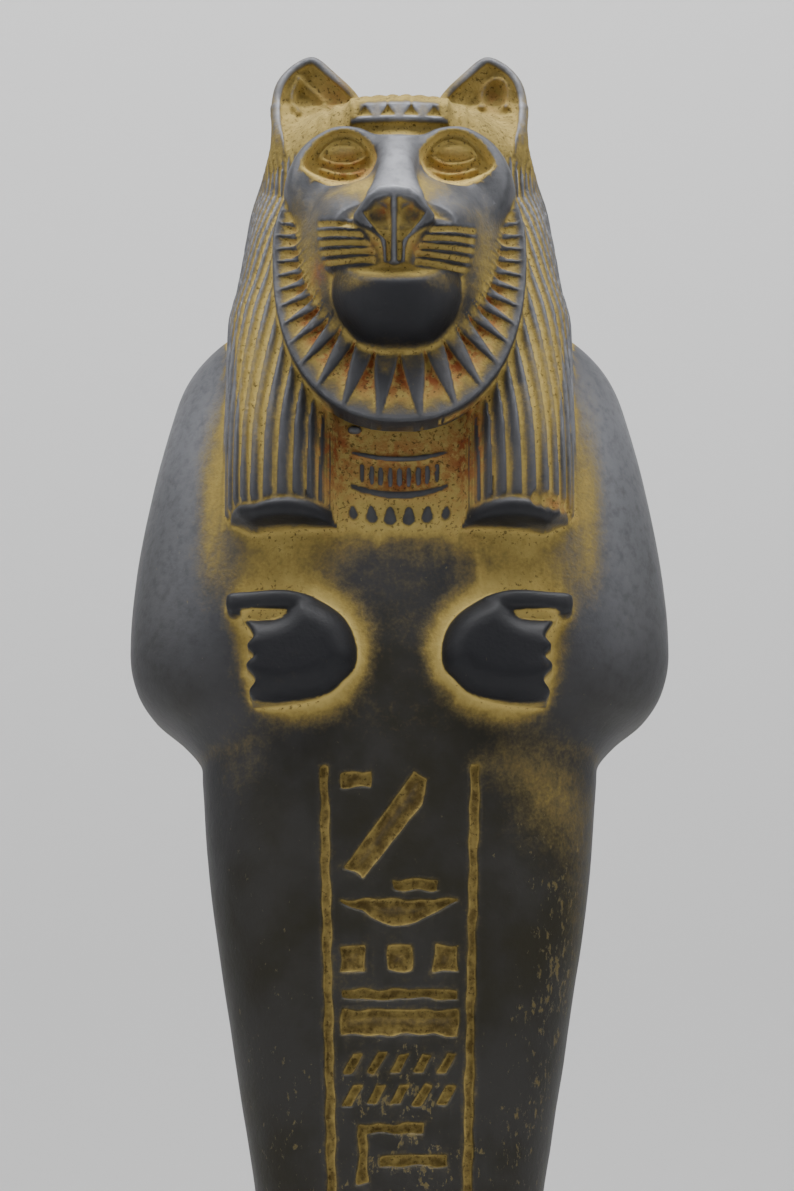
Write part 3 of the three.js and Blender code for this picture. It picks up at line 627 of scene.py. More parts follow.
# Collar between the lappets, on the chest: heights at the middle, from which each row sags in a curve.
BEADS = 9
BEAD_PITCH = 1.65
DROPS = 6
DROP_PITCH = 3.33
LUMP = (-8, 26.2, 209)  # a stray lump of plaster at the collar's upper corner


def add_collar():
    block = Block((-12, 12), (20, 31), (186, 213))
    x, f, h = block.x, block.f, block.h
    chest = 26.5 - 0.012 * x * x
    for height, rise, radius in ((203.6, 0.02, 0.5), (196.9, 0.026, 0.75)):
        form = np.hypot(h - height - rise * x * x, f - chest + 0.15) - radius
        block.add(np.maximum(form, block.side - 8.6), 0.4)
    form = oval(row_offset(x, BEAD_PITCH, BEADS), h - 200.2 - 0.02 * x * x, 0.46, 1.75, 3)
    block.add(np.maximum(form, f - chest - 0.4), 0.3)
    up = h - 193.1 - 0.01 * x * x
    narrow = 1 + 0.5 * np.clip(up / 1.8, -0.4, 1)
    form = ball(row_offset(x, DROP_PITCH, DROPS) * narrow, f - chest + 0.5, up, (1.25, 1.4, 1.95))
    block.add(form, 0.3)
    block.add(ball(x - LUMP[0], f - LUMP[1], h - LUMP[2], (1.3, 0.9, 0.8)), 0.5)


# Fist: a dome cut off by a scalloped edge of four fingers, and a thumb along its top.
FIST_OUTLINE = [
    (30, 167), (30, 172), (27.6, 174.6), (24.5, 174.7), (21.5, 175.4), (19.6, 177.4), (18, 178.8),
    (15.5, 178.4), (13, 177.2), (10.5, 175.4), (8.75, 173.2), (7.75, 170.6), (7.4, 168.1), (8, 165.5),
    (9.7, 163.7), (11.7, 161.8), (14.2, 160.7), (17.9, 160), (21.6, 159.7), (25.5, 160), (30, 161),
]
# How far out the finger tips reach, at heights.
FINGER_EDGE = [
    (160.2, 25.6), (161.4, 26), (163.2, 24.9), (165.6, 26.5), (167.3, 25.2), (169.1, 26.4), (171, 25.3),
    (174, 26.8),
]
THUMB_OUTLINE = [
    (30.2, 177.6), (29.6, 178.7), (26, 178.9), (20, 179.1), (15.6, 178.3), (15, 177), (17.5, 176.2),
    (21, 176), (25.6, 176), (27.6, 175.5), (29, 175.4), (30, 176.2),
]
THUMB_GAP = [(28.2, 176.6), (19, 177), (19, 174.4), (21, 173.8), (27.4, 173.8)]


def fist_outlines(side, h):
    """Distances to the fist's dome, its scalloped edge and the thumb, less than nothing inside them."""
    scallops = side - np.interp(h, *curve(FINGER_EDGE, 60).T) - 0.2
    return to_curve(side, h, FIST_OUTLINE, 90) - 0.4, scallops, to_curve(side, h, THUMB_OUTLINE) - 0.2


def add_fists():
    block = Block((-34, 34), (16, 36), (153, 184))
    _, side, h = block.flat()
    dome, scallops, thumb = fist_outlines(side, h)
    outline = soft_overlap(dome, scallops, 0.5)
    front = 26.2 + 4.2 * (1 - (1 - np.minimum(np.maximum(-dome, 0) / 6, 1)) ** 2.4)
    front = front - 0.5 * np.exp(np.minimum(outline, 0) / 0.5)
    block.add(relief(block, outline, front, 16, 0.5), 0.4)
    gap = to_outline(side, h, THUMB_GAP)
    floor = 27.2 + 0.8 * ramp(26, 20, side)
    block.add(relief(block, gap, floor, 16, 0.4), 0.3)
    front = 29.5 - 1.1 * ramp(22, 30, side) - 1.4 * ramp(20, 14, side)
    front = front - 0.8 * np.exp(np.minimum(thumb, 0) / 0.5)
    block.add(relief(block, thumb, front, 16, 0.5), 0.7)


# Column of sunk strokes down the skirt between two border lines.
COLUMN_TOP = 149
COLUMN_FOOT = 44
COLUMN_HALF_WIDTH = 13.2
COLUMN_TAPER = 0.022
BORDER_WIDTH = 1.5
SIGN_DEPTH = 1.0


def bar(x0, x1, top, high):
    return [(x0, top - high), (x1, top - high), (x1, top), (x0, top)]


def squares(top, high):
    return [bar(x - 2, x + 2, top, high) for x in (-8, 0, 8)]


def slants(top):
    foot = top - 3.2
    return [[(x - 1.6, foot), (x - 0.2, foot), (x + 1.6, top), (x + 0.2, top)] for x in (-8, -4, 0, 4, 8)]


def stroke_outlines():
    bow = curve([(-10, 125.2), (0, 120.8), (10, 125.2)], 12)
    return [
        bar(-10, -5, 147.6, 2.6),
        [(-9.4, 131), (-6.4, 129), (3.6, 141.6), (5, 146.6), (2.6, 147.6)],
        bar(-1, 6.6, 128.6, 1.6),
        bow,
        *squares(117.2, 4.2),
        bar(-10, 10, 109.6, 1.4),
        bar(-10, 10, 106.2, 4.2),
        *slants(98.6),
        *slants(93.2),
        bar(-7, 4, 86.6, 1.4),
        bar(-7, -5.6, 86.6, 10),
        bar(-3, 8, 81.2, 1.6),
        bar(-8, 8, 72.2, 1.6),
        *squares(68, 3.4),
        bar(-8, 8, 61.4, 1.4),
    ]


def into_strokes(x, h):
    """Distance to the nearest stroke or border line, less than nothing inside it."""
    # Their edges wander a little, as if cut by hand.
    wander = 0.18 * np.sin(h * 0.9 + 2 * np.sin(x * 0.5)) + 0.12 * np.sin(x * 1.3 + h * 0.4)
    half = COLUMN_HALF_WIDTH - COLUMN_TAPER * (COLUMN_TOP - h)
    border = np.abs(np.abs(x) - half + 0.6 * wander) - BORDER_WIDTH / 2
    ends = np.abs(h - (COLUMN_TOP + COLUMN_FOOT) / 2) - (COLUMN_TOP - COLUMN_FOOT) / 2
    nearest = soft_overlap(border, ends, 0.8)
    for outline in stroke_outlines():
        rounded = to_outline(x + wander, h + wander, outline) - 0.1
        nearest = np.minimum(nearest, rounded)
    return nearest


def cut_strokes():
    block = Block((-16, 16), (12, 30), (40, 152))
    x, _, h = block.flat()
    nearest = into_strokes(x, h)
    # Wide strokes swell up again inside, as sunk relief does.
    deep = SIGN_DEPTH * (1 - 0.55 * ramp(0.7, 2.2, -nearest))
    sunk = np.minimum(-nearest[:, None, :], block.values + deep[:, None, :])
    block.values[...] = soft_overlap(block.values, sunk, 0.45)


def add_plinth():
    block = Block((-60, 60), (-40, 60), (-20, 4))
    edge = PLINTH_EDGE
    centre = AXIS_SET_BACK / UNIT
    over = [
        block.side - PLINTH_WIDTH / 2 / UNIT + edge,
        np.abs(block.f - centre) - PLINTH_DEPTH / 2 / UNIT + edge,
        np.abs(block.h + PLINTH_HEIGHT / 2 / UNIT) - PLINTH_HEIGHT / 2 / UNIT + edge,
    ]
    outside = np.sqrt(sum(np.maximum(o, 0) ** 2 for o in over))
    inside = np.minimum(np.maximum(np.maximum(over[0], over[1]), over[2]), 0)
    block.add(outside + inside - edge, 1.6)


def weights(axis, spacing):
    """Shares of the nearest lattice values at each grid place, for a smooth noise."""
    at = (axis - axis[0]) / spacing
    i = at.astype(int)
    t = ramp(0, 1, at - i)
    table = np.zeros((len(axis), i.max() + 2), np.float32)
    table[np.arange(len(axis)), i] = 1 - t
    table[np.arange(len(axis)), i + 1] += t
    return table


def add_unevenness(spacing, amount):
    """Slow swells of a hand-finished model, drawn from a seeded lattice."""
    across, forward, up = (weights(axis, spacing) for axis in (XS, FS, HS))
    lattice = rng.normal(0, amount, (across.shape[1], forward.shape[1], up.shape[1])).astype(np.float32)
    swell = np.tensordot(np.tensordot(across, lattice, (1, 0)), forward, (1, 1))
    field[...] += np.tensordot(swell, up, (1, 1))


def build_field():
    add_body()
    add_collar()
    cut_strokes()
    add_wig()
    cut_chips()
    add_ears()
    add_brow_band()
    add_ruff()
    add_head()
    add_fists()
    add_unevenness(7, 0.05)
    add_plinth()


def surface_net(values):
    """Vertices, in grid steps, and quads of the surface where the field is nothing."""
    inside = values < 0
    sizes = np.array(values.shape) - 1
    count = sum(
        inside[tuple(slice(c, c + n) for c, n in zip(corner, sizes))].astype(np.uint8) for corner in CORNERS
    )
    cells = np.argwhere((count > 0) & (count < len(CORNERS)))
    number = np.full(count.shape, -1, np.int32)
    number[tuple(cells.T)] = np.arange(len(cells))
    at = [values[tuple((cells + corner).T)] for corner in CORNERS]
    total = np.zeros((len(cells), 3), np.float32)
    crossings = np.zeros(len(cells), np.float32)
    for a, start in enumerate(CORNERS):
        # The corner one step along x, y or z stands four, two or one further in the list.
        for axis, further in enumerate((4, 2, 1)):
            if start[axis]:
                continue
            low, high = at[a], at[a + further]
            crossed = (low < 0) != (high < 0)
            place = np.zeros((len(cells), 3), np.float32) + start.astype(np.float32)
            place[:, axis] += low / np.where(crossed, low - high, 1)
            total += np.where(crossed[:, None], place, 0)
            crossings += crossed
    quads = [net_quads(inside, number, axis) for axis in range(3)]
    return cells + total / crossings[:, None], np.vstack(quads)


def net_quads(inside, number, axis):
    """A quad of cells round each grid edge along the axis that the surface crosses."""
    others = [(axis + 1) % 3, (axis + 2) % 3]
    line = np.moveaxis(inside, axis, 0)
    edges = np.argwhere(np.moveaxis(line[:-1] != line[1:], 0, axis))
    limits = np.array(inside.shape)[others] - 1
    edges = edges[((edges[:, others] > 0) & (edges[:, others] < limits)).all(axis=1)]
    ring = []
    for back in ((1, 1), (0, 1), (0, 0), (1, 0)):
        cell = edges.copy()
        cell[:, others] -= back
        ring.append(number[tuple(cell.T)])
    quads = np.stack(ring, axis=1)
    # The corners go round in the order that faces outward in the world, whose Y runs against f.
    turned = inside[tuple(edges.T)]
    quads[turned] = quads[turned][:, ::-1]
    return quads


def halved(values):
    """Averages of two by two by two grid places."""
    even = values[tuple(slice(0, n - n % 2) for n in values.shape)]
    return sum(even[i::2, j::2, k::2] for i, j, k in CORNERS) / len(CORNERS)


def smoothed(values, times):
    """Each place averaged with its neighbours along each axis, again and again."""
    for _ in range(times):
        for axis in range(3):
            line = np.moveaxis(values, axis, 0)
            line[1:-1] = 0.5 * line[1:-1] + 0.25 * (line[:-2] + line[2:])
    return values


def blurred(values, cells):
    """Box blur done twice along each axis."""
    width = 2 * cells + 1
    for axis in (0, 0, 1, 1, 2, 2):
        line = np.moveaxis(values, axis, 0)
        total = np.cumsum(np.pad(line, [(cells + 1, cells), (0, 0), (0, 0)], "edge"), 0)
        values = np.moveaxis((total[width:] - total[:-width]) / width, 0, axis)
    return values


def sample(values, places):
    """A grid read between its points, at places in grid steps."""
    at = np.clip(places, 0, np.array(values.shape) - 1.001)
    i = at.astype(int)
    t = at - i
    result = 0
    for corner in CORNERS:
        share = np.prod(np.where(corner, t, 1 - t), axis=1)
        result = result + share * values[tuple((i + corner).T)]
    return result


def to_figure(places):
    """Figure units of places in grid steps."""
    return np.array([XS[0], FS[0], HS[0]], float) + places * STEP


def to_world(places):
    """World metres of places in grid steps."""
    x, f, h = to_figure(places).T * UNIT
    return np.column_stack([x, AXIS_SET_BACK - f, PLINTH_HEIGHT + h]) / 1000


def to_grid(world):
    """Grid steps of places in world metres."""
    x, y, z = world.T * 1000
    figure = np.column_stack([x, AXIS_SET_BACK - y, z - PLINTH_HEIGHT]) / UNIT
    return (figure - to_figure(0)) / STEP


def pair(x, *spot):
    """The same spot on both sides of the middle."""
    return [(-x, *spot), (x, *spot)]


# Soft spots on the front: x, height, reach across and up, strength.
DUST_SPOTS = [
    (-7, 251.6, 3, 3.6, 0.75), (7, 251.6, 3, 3.4, 0.55), (-11.5, 250.6, 3, 2, 0.35),
    (0, 233.2, 10.5, 1.5, 0.9), (*CHIPPED, 3.4, 1.6, 1.0), (-7, 231.2, 3, 1, 0.5),
    (7.5, 231, 3.4, 1.2, 0.25), *pair(13, 246, 5, 6, 0.2), *pair(3.6, 237.2, 1.7, 3, 0.7),
    *pair(15.6, 234, 2.4, 7, 0.5), (-18.5, 251, 1.8, 7, 0.35), (0, 241, 4.4, 4.4, 0.6),
    (26, 145, 8, 11, 0.55), (-28, 150, 7, 7, 0.25), (0, 157, 22, 4, 0.16), (17, 150, 6, 4, 0.3),
    *pair(16.5, 240, 3, 9, 0.4), (30.5, 122, 4, 16, 0.3), *pair(33.6, 200, 2.8, 18, 0.75),
]
CHEST_DUST = [
    *pair(20, 186.6, 12, 4.5, 0.72), (0, 190, 12, 2.5, 0.3), *pair(24, 182, 8, 3.5, 0.5),
    (0, 174, 15, 12, 0.17),
]
RED_SPOTS = [
    (-9, 257.2, 5.5, 3, 0.75), (9, 257.2, 5.5, 3, 0.45), (-12, 279, 3, 4, 0.4), (17.6, 279, 2.4, 3, 0.5),
    (-11.5, 205, 3.4, 10, 0.9), (12, 207, 3.4, 11, 1.0), (0, 205, 9, 3.4, 0.8), (1, 199.5, 8, 2.8, 1.0),
    (-8, 209, 1.5, 1.2, 1.0), (-3.5, 237.5, 1.8, 1.6, 0.6), (3.2, 237.5, 1.8, 1.6, 0.6),
    (2.6, 243.8, 1.2, 1.2, 0.9), (-2.6, 243.8, 1.4, 1.4, 0.9), (27.4, 194.8, 3.4, 1.4, 0.6),
    (-14, 236, 1.6, 2.6, 0.8),
]
# Where the graphite is painted silver as a highlight, where a hazy brown wash that is also painted shade
# dulls it, and where it is rough.
PAINTED_HIGHLIGHT_SPOTS = [
    (0, 257, 5, 8, 0.75), (0, 248, 5, 3, 0.5), (-13, 248, 6, 5, 0.2), (13, 248, 6, 5, 0.25),
    *pair(18.5, 257, 3, 8, 0.4), *pair(16, 238, 2.4, 6, 0.25), *pair(38, 216, 12, 16, 0.6),
    (-42, 190, 12, 22, 0.3), (42, 190, 12, 22, 0.35), *pair(21, 280, 4, 9, 0.6),
    *pair(12, 283, 4, 3, 0.5), (0, 269, 9, 1.8, 1.0),
]
HAZE_AND_SHADE_SPOTS = [
    (0, 160, 20, 16, 0.75), (0, 180, 8, 12, 0.4), (-22, 120, 8, 30, 0.6), (24, 118, 9, 34, 0.7),
    (0, 90, 30, 50, 0.5), *pair(38, 162, 8, 6, 0.5), (0, 30, 40, 40, 0.6), (0, 110, 44, 42, 1.0),
    (0, 60, 44, 26, 0.8), *pair(45, 180, 6, 30, 0.5),
]
ROUGH_SPOTS = [
    (0, 84, 13, 20, 1.0), (27, 118, 6, 26, 0.8), (22, 80, 6, 24, 0.6), (-22, 92, 7, 26, 0.4),
    (-28, 140, 6, 10, 0.3), (0, 158, 20, 5, 0.2),
]


def spots(places, x, h):
    total = np.zeros(len(x))
    for px, ph, across, up, strength in places:
        total += strength * hump(x - px, across) * hump(h - ph, up)
    return total


def crown_masks(side, turned, f, h):
    """Where the crown before the ears is, and the band over the brow."""
    off_mask = to_curve(turned, h, mirrored(MASK_OUTLINE), 120)
    crown = ramp(257, 266, h) * ramp(4, 10, f) * ramp(0.3, 1, off_mask)
    return crown, within(h, 266.5, 267, 271, 272) * ramp(9.4, 8.6, side) * (f > 24)


def eye_dust(turned, f, h, fine):
    """Which vertices lie in the eyes' hollows, and the dust there: less on the balls, more below the lids,
    heaped high so that the hollows take pale ochre as painted light.
    """
    in_socket = -to_curve(np.abs(turned), h, SOCKET)
    eye = ((np.abs(turned) - EYE[0]) / 2.6) ** 2 + ((h - EYE[1]) / 1.2) ** 2
    socket_dust_and_light = mix(0.8, mix(1.6, 1.35, ramp(257, 261, h)), ramp(-0.2, 0.9, in_socket))
    socket_dust_and_light += np.clip(fine * 2, -0.2, 0.3) - 0.45 * np.exp(-(eye**2))
    return (f > 20) & (f < 33) & (in_socket > 0), socket_dust_and_light


def wig_and_collar_dust(side, f, h, fine):
    collar = ramp(13.5, 9, side) * within(h, 187, 192, 210, 213) * (f > 22)
    chest = ramp(17, 11.5, side) * within(h, 190, 193, 212, 226) * (f > 25)
    outer = ramp(19, 26, side) * within(h, 196, 215, 262, 272) * (side + 0.2 * f < 34)
    between = 0.55 * collar * ramp(-0.09, 0.0, fine + 0.03) + 0.75 * chest * ramp(-0.1, 0.02, fine)
    return between + 0.72 * outer


def fist_masks(side, f, h):
    """Where the fists and thumbs are, and the gap between the two."""
    dome, scallops, thumb = fist_outlines(side, h)
    on_fist = ramp(0.3, -0.2, np.minimum(np.maximum(dome, scallops), thumb)) * ramp(26, 26.6, f)
    in_gap = -to_outline(side, h, THUMB_GAP)
    on_fist = on_fist * (1 - ramp(-0.2, 0.3, in_gap) * ramp(28.6, 28, f))
    return on_fist, ramp(-0.3, 0.3, in_gap) * (f > 26)


def cuff_mask(x, f, h):
    """Where the cuffs are, without the chip in the right one."""
    cuffs = ramp(27.2, 28.4, f) * within(h, 188, 190, 193, 195) * ramp(10.4, 12, np.abs(x))
    return cuffs * (1 - hump(x - CHIPPED[0], 3.2) * hump(h - CHIPPED[1], 1.3))


def painted_shade_face_mask(side, turned, f, h):
    """Painted shade on the pads of the muzzle, which face down, and on the jaw, deepest towards its bottom.
    """
    pads = 0.8 * within(h, 231, 233, 241, 243.5) * ramp(34, 37, f) * ramp(2.4, 4.5, side) * (f < 44.5)
    jaw = ramp(-0.5, 0.3, read(JAW, h)[0] - np.abs(turned)) * ramp(1, 2.4, f - ruff_front(h))
    return np.maximum(pads, jaw * ramp(233, 231.4, h) * mix(0.35, 0.95, ramp(231, 225, h)))


def paint(figure, fine, broad):
    """Masks at each vertex, from how deep it lies and from where it is, painted highlight and painted shade
    among them.
    """
    x, f, h = figure.T
    side = np.abs(x)
    ahead = ramp(2, 6, f)
    turned = x + FACE_TURN * (f - TURNED_FROM)
    dust = np.clip(fine * 5, 0, 1) + np.clip(broad * 3, 0, 0.7)
    # Convex edges: rubbed free of dust, and lit silver as painted highlight through the shine mask; more of
    # both higher up.
    worn_and_edge_highlight = np.clip(-fine * 5 - 0.2, 0, 1) * mix(0.35, 1, ramp(180, 215, h))

    in_ear = ramp(1.5, 2.3, -to_curve(side, h, EAR_OUTLINE)) * (h > 262)
    crown, on_band = crown_masks(side, turned, f, h)
    dust += 0.8 * in_ear * ramp(4, 5, f)
    dust += crown * mix(1.0, 0.6, ramp(8, 16, side)) * (1 - 0.55 * on_band)
    at_eye, socket_dust_and_light = eye_dust(turned, f, h, fine)
    dust = np.where(at_eye, socket_dust_and_light, dust)
    worn_and_edge_highlight = np.where(at_eye, 0.1 * worn_and_edge_highlight, worn_and_edge_highlight)

    on_lappet = within(h, 190, 195, 222, 232) * (f > 22) * (side > 9)
    dust += wig_and_collar_dust(side, f, h, fine) + 0.12 * on_lappet
    worn_and_edge_highlight = worn_and_edge_highlight * (1 - 0.6 * on_lappet)

    out, inside = tuft_shape(side, h - RUFF_CENTRE)
    on_ruff = (np.abs(f - ruff_front(h) + 0.9) < 1.6) & (out > -0.1) & (out < 1.05)
    powdered = inside * mix(0.85, 0.15, ramp(0.5, 0.95, out)) + 0.35 * (1 - inside) * ramp(0.7, 0.2, out)
    dust = np.where(on_ruff, powdered + np.clip(fine * 5, -0.2, 0.6) + 0.15, dust)
    worn_and_edge_highlight = np.where(on_ruff, 0.4 * worn_and_edge_highlight, worn_and_edge_highlight)
    tufts = ramp(0.85, 0.35, out) * inside * mix(0.5, 1.4, ramp(240, 226, h))
    red = np.where(on_ruff, tufts, spots(RED_SPOTS, x, h) * ahead)

    to_stroke = into_strokes(x, h)
    on_skirt = ahead * (h < 152)
    by_stroke = ramp(1.3, 0, to_stroke) * on_skirt
    # The floors of the strokes get umber, a painted shade.
    sunk = ramp(0.25, -0.45, to_stroke) * on_skirt
    dust += 0.35 * sunk + 0.3 * by_stroke
    worn_and_edge_highlight = worn_and_edge_highlight * (1 - 0.9 * by_stroke)
    # The same painted shade in the ears' hollows and over the crown, but not on the band.
    sunk = np.maximum(sunk + 0.45 * in_ear, 0.3 * crown * (1 - on_band))

    dust += spots(DUST_SPOTS, turned, h) * ahead * (1 - on_ruff)
    dust += spots(CHEST_DUST, x, h) * ramp(28.2, 27, f) * ahead
    on_fist, in_gap = fist_masks(side, f, h)
    bare = np.clip(on_fist + 0.9 * cuff_mask(x, f, h), 0, 1) * ahead
    # Silver as painted highlight on the face, shoulders, arms, ears and brow band, and on rubbed edges; none
    # on the fists and cuffs.
    rubbed_shine_and_highlight = spots(PAINTED_HIGHLIGHT_SPOTS, x, h) * ramp(-8, 4, f) * (1 - bare) + 0.5 * worn_and_edge_highlight
    # A hazy brown wash, also a painted shade darkening the belly, skirt and arms, and the back.
    haze_and_shade = spots(HAZE_AND_SHADE_SPOTS, x, h) + 0.4 * ramp(4, -8, f)
    grooved = whisker_groove(turned, f, h)
    dust += 0.9 * in_gap + 0.8 * grooved
    worn_and_edge_highlight = worn_and_edge_highlight * (1 - 0.8 * grooved)
    # Painted shade on the fists and on the cuffs, which face down; less from the fists' upper part to the
    # cuffs' lower edge, a painted light from above.
    fist_and_cuff_shade = bare * (0.85 - 0.3 * within(h, 170, 180, 188, 190))
    painted_shade = np.clip(painted_shade_face_mask(side, turned, f, h) + fist_and_cuff_shade, 0, 1)
    return {
        # The dust may heap higher in the eyes' hollows, for their pale painted light.
        "dust": np.clip(dust - 0.9 * worn_and_edge_highlight, 0, np.where(at_eye, 1.6, 1.2)) * (1 - bare),
        "red": np.clip(red, 0, 1),
        "rubbed_shine_and_highlight": np.clip(rubbed_shine_and_highlight * (1 - painted_shade), 0, 1),
        "haze_and_shade": np.clip(haze_and_shade, 0, 1) * (1 - 0.6 * painted_shade),
        "painted_shade": painted_shade,
        "bare": bare,
        "sunk": sunk,
        "rough": np.clip(spots(ROUGH_SPOTS, x, h) * ahead + 0.15 * (h < 150), 0, 1) * (1 - bare),
    }


def set_mask(mesh, name, values):
    mask = mesh.attributes.new(name, "FLOAT", "POINT")
    mask.data.foreach_set("value", np.asarray(values, np.float32))


def quad_mesh(name, vertices, quads):
    mesh = bpy.data.meshes.new(name)
    mesh.vertices.add(len(vertices))
    mesh.vertices.foreach_set("co", vertices.astype(np.float32).ravel())
    mesh.loops.add(quads.size)
    mesh.loops.foreach_set("vertex_index", quads.astype(np.int32).ravel())
    mesh.polygons.add(len(quads))
    mesh.polygons.foreach_set("loop_start", np.arange(0, quads.size, 4, dtype=np.int32))
    mesh.update(calc_edges=True)
    return mesh


def thinned(mesh, triangles):
    """A copy of the mesh with about that many triangles left."""
    piece = bpy.data.objects.new(mesh.name, mesh)
    bpy.context.scene.collection.objects.link(piece)
    thin = piece.modifiers.new("thin", "DECIMATE")
    thin.ratio = min(1, triangles / (2 * len(mesh.polygons)))
    evaluated = piece.evaluated_get(bpy.context.evaluated_depsgraph_get())
    result = bpy.data.meshes.new_from_object(evaluated)
    bpy.data.objects.remove(piece)
    bpy.data.meshes.remove(mesh)
    return result


def slope_of_field(places):
    """The field's gradient at places in grid steps."""
    rise = []
    for axis in range(3):
        step = np.zeros(3)
        step[axis] = 0.5
        rise.append(sample(field, places + step) - sample(field, places - step))
    return np.column_stack(rise)


def make_statue():
    """One mesh of the whole figure, thinned, with the masks for its finish, painted highlight and shade among
    them, on its vertices.
    """
    build_field()
    places, quads = surface_net(field)
    mesh = thinned(quad_mesh("figure", to_world(places), quads), MOST_TRIANGLES)
    world = np.empty(len(mesh.vertices) * 3, np.float32)
    mesh.vertices.foreach_get("co", world)
    places = to_grid(world.reshape(-1, 3).astype(float))
    # The thinned mesh is drawn back onto the field's surface.
    slope = slope_of_field(places)
    share = sample(field, places) / np.maximum((slope**2).sum(axis=1), 0.01)
    places = places - slope * np.clip(share, -1, 1)[:, None] * 0.8
    mesh.vertices.foreach_set("co", to_world(places).astype(np.float32).ravel())
    mesh.update()
    # How much solid lies round each vertex: over half in a hollow, under half on an edge.
    solid = np.clip(0.5 - field / STEP, 0, 1)
    broad = sample(blurred(halved(solid), round(1.5 / STEP)), (places - 0.5) / 2) - 0.5
    fine = sample(smoothed(solid, 4), places) - 0.5
    for name, values in paint(to_figure(places), fine, broad).items():
        set_mask(mesh, name, values)
    mesh.shade_smooth()
    piece = bpy.data.objects.new("figure", mesh)
    bpy.context.scene.collection.objects.link(piece)
    return piece


class Nodes:
    """Short calls for building a material's nodes."""

    def __init__(self, name):
        self.material = bpy.data.materials.new(name)
        self.material.use_nodes = True
        self.tree = self.material.node_tree
        self.tree.nodes.clear()

    def node(self, kind, inputs=(), **settings):
        """A node with its settings, and with values or other nodes' outputs on its inputs."""
        made = self.tree.nodes.new(kind)
        for key, value in settings.items():
            setattr(made, key, value)
        for key, value in dict(inputs).items():
            if isinstance(value, bpy.types.NodeSocket):
                self.tree.links.new(value, made.inputs[key])
            else:
                made.inputs[key].default_value = value
        return made

    def place(self):
        return self.node("ShaderNodeTexCoord").outputs["Object"]

    def noise(self, scale, detail, roughness=0.55, stretch=(1, 1, 1)):
        place = self.node("ShaderNodeMapping", {"Vector": self.place(), "Scale": stretch}).outputs[0]
        inputs = {"Vector": place, "Scale": scale, "Detail": detail, "Roughness": roughness}
        return self.node("ShaderNodeTexNoise", inputs).outputs["Fac"]

    def mask(self, name):
        return self.node("ShaderNodeAttribute", attribute_name=name).outputs["Fac"]

    def math(self, operation, a, b=0.0):
        return self.node("ShaderNodeMath", {0: a, 1: b}, operation=operation).outputs[0]

    def times(self, a, b):
        return self.math("MULTIPLY", a, b)

    def plus(self, a, b):
        return self.math("ADD", a, b)

    def minus(self, a, b):
        return self.math("SUBTRACT", a, b)

    def spread(self, value, low, high, out_low=0.0, out_high=1.0):
        """The value between low and high, eased onto the range between the other two."""
        inputs = dict(enumerate((value, low, high, out_low, out_high)))
        return self.node("ShaderNodeMapRange", inputs, interpolation_type="SMOOTHSTEP").outputs[0]

    def blend(self, share, a, b):
        inputs = {"Factor": share, "A": a, "B": b}
        return self.node("ShaderNodeMix", inputs, data_type="RGBA").outputs["Result"]

    def finished(self, inputs):
        """The material, with its shader's inputs."""
        shader = self.node("ShaderNodeBsdfPrincipled", inputs)
        self.node("ShaderNodeOutputMaterial", {"Surface": shader.outputs["BSDF"]})
        return self.material


DARK = (0.026, 0.027, 0.031, 1)
MID = (0.042, 0.042, 0.046, 1)
# Silver of rubbed graphite, also used as painted highlight.
RUBBED_SILVER_AND_HIGHLIGHT = (0.24, 0.245, 0.265, 1)
# Hazy brown wash, also painted shade.
HAZE_AND_SHADE = (0.0165, 0.0143, 0.0072, 1)
# Grey of painted shade.
SHADE_GREY = (0.009, 0.0095, 0.012, 1)
OCHRE = (0.205, 0.147, 0.036, 1)
PALE_OCHRE = (0.46, 0.35, 0.11, 1)
RED = (0.25, 0.075, 0.025, 1)
PIT = (0.04, 0.025, 0.01, 1)
# Umber of painted shade in the hollows.
SHADE_UMBER = (0.055, 0.034, 0.009, 1)
SCRATCH = (0.15, 0.115, 0.04, 1)
BUMP_DEPTH = 0.0005
FIST_MIDDLE = (18, 169.4)


def halo(n):
    """Soft dust round the fists, by where they are."""
    x, y, z = n.node("ShaderNodeSeparateXYZ", {0: n.place()}).outputs
    side = n.minus(n.math("ABSOLUTE", x), FIST_MIDDLE[0] * UNIT / 1000)
    up = n.minus(z, (PLINTH_HEIGHT + FIST_MIDDLE[1] * UNIT) / 1000)
    away = n.math("SQRT", n.plus(n.times(side, side), n.times(up, up)))
    near = n.spread(away, 0.0092 * UNIT, 0.0165 * UNIT, 0.64, 0.0)
    return n.times(near, n.spread(y, -0.012, -0.0165, 0.0, 1.0))


def flecks(n, where):
    """Short upright flecks of dust caught in the skin, closer together where it is rough."""
    raised = n.noise(900, 5, 0.7, (1, 1, 0.6))
    least = n.spread(where, 0.0, 1.0, 0.68, 0.53)
    return n.spread(n.minus(raised, least), 0.0, 0.07)


def skin_colour(n, cloud, rubbed_shine_and_highlight, net):
    """Graphite: clouded, washed hazy brown and darkened there as painted shade, silver where rubbed and as
    painted highlight, shade grey as painted shade, and caught with flecks of dust.
    """
    skin = n.blend(n.spread(cloud, 0.33, 0.68), DARK, MID)
    hazed_and_shaded = n.times(n.mask("haze_and_shade"), n.spread(cloud, 0.62, 0.3, 0.6, 1.0))
    skin = n.blend(rubbed_shine_and_highlight, n.blend(hazed_and_shaded, skin, HAZE_AND_SHADE), RUBBED_SILVER_AND_HIGHLIGHT)
    # Painted shade: shade grey on the muzzle's pads, the jaw, the fists and the cuffs.
    skin = n.blend(n.mask("painted_shade"), skin, SHADE_GREY)
    return n.blend(n.times(net, 0.7), skin, SCRATCH)


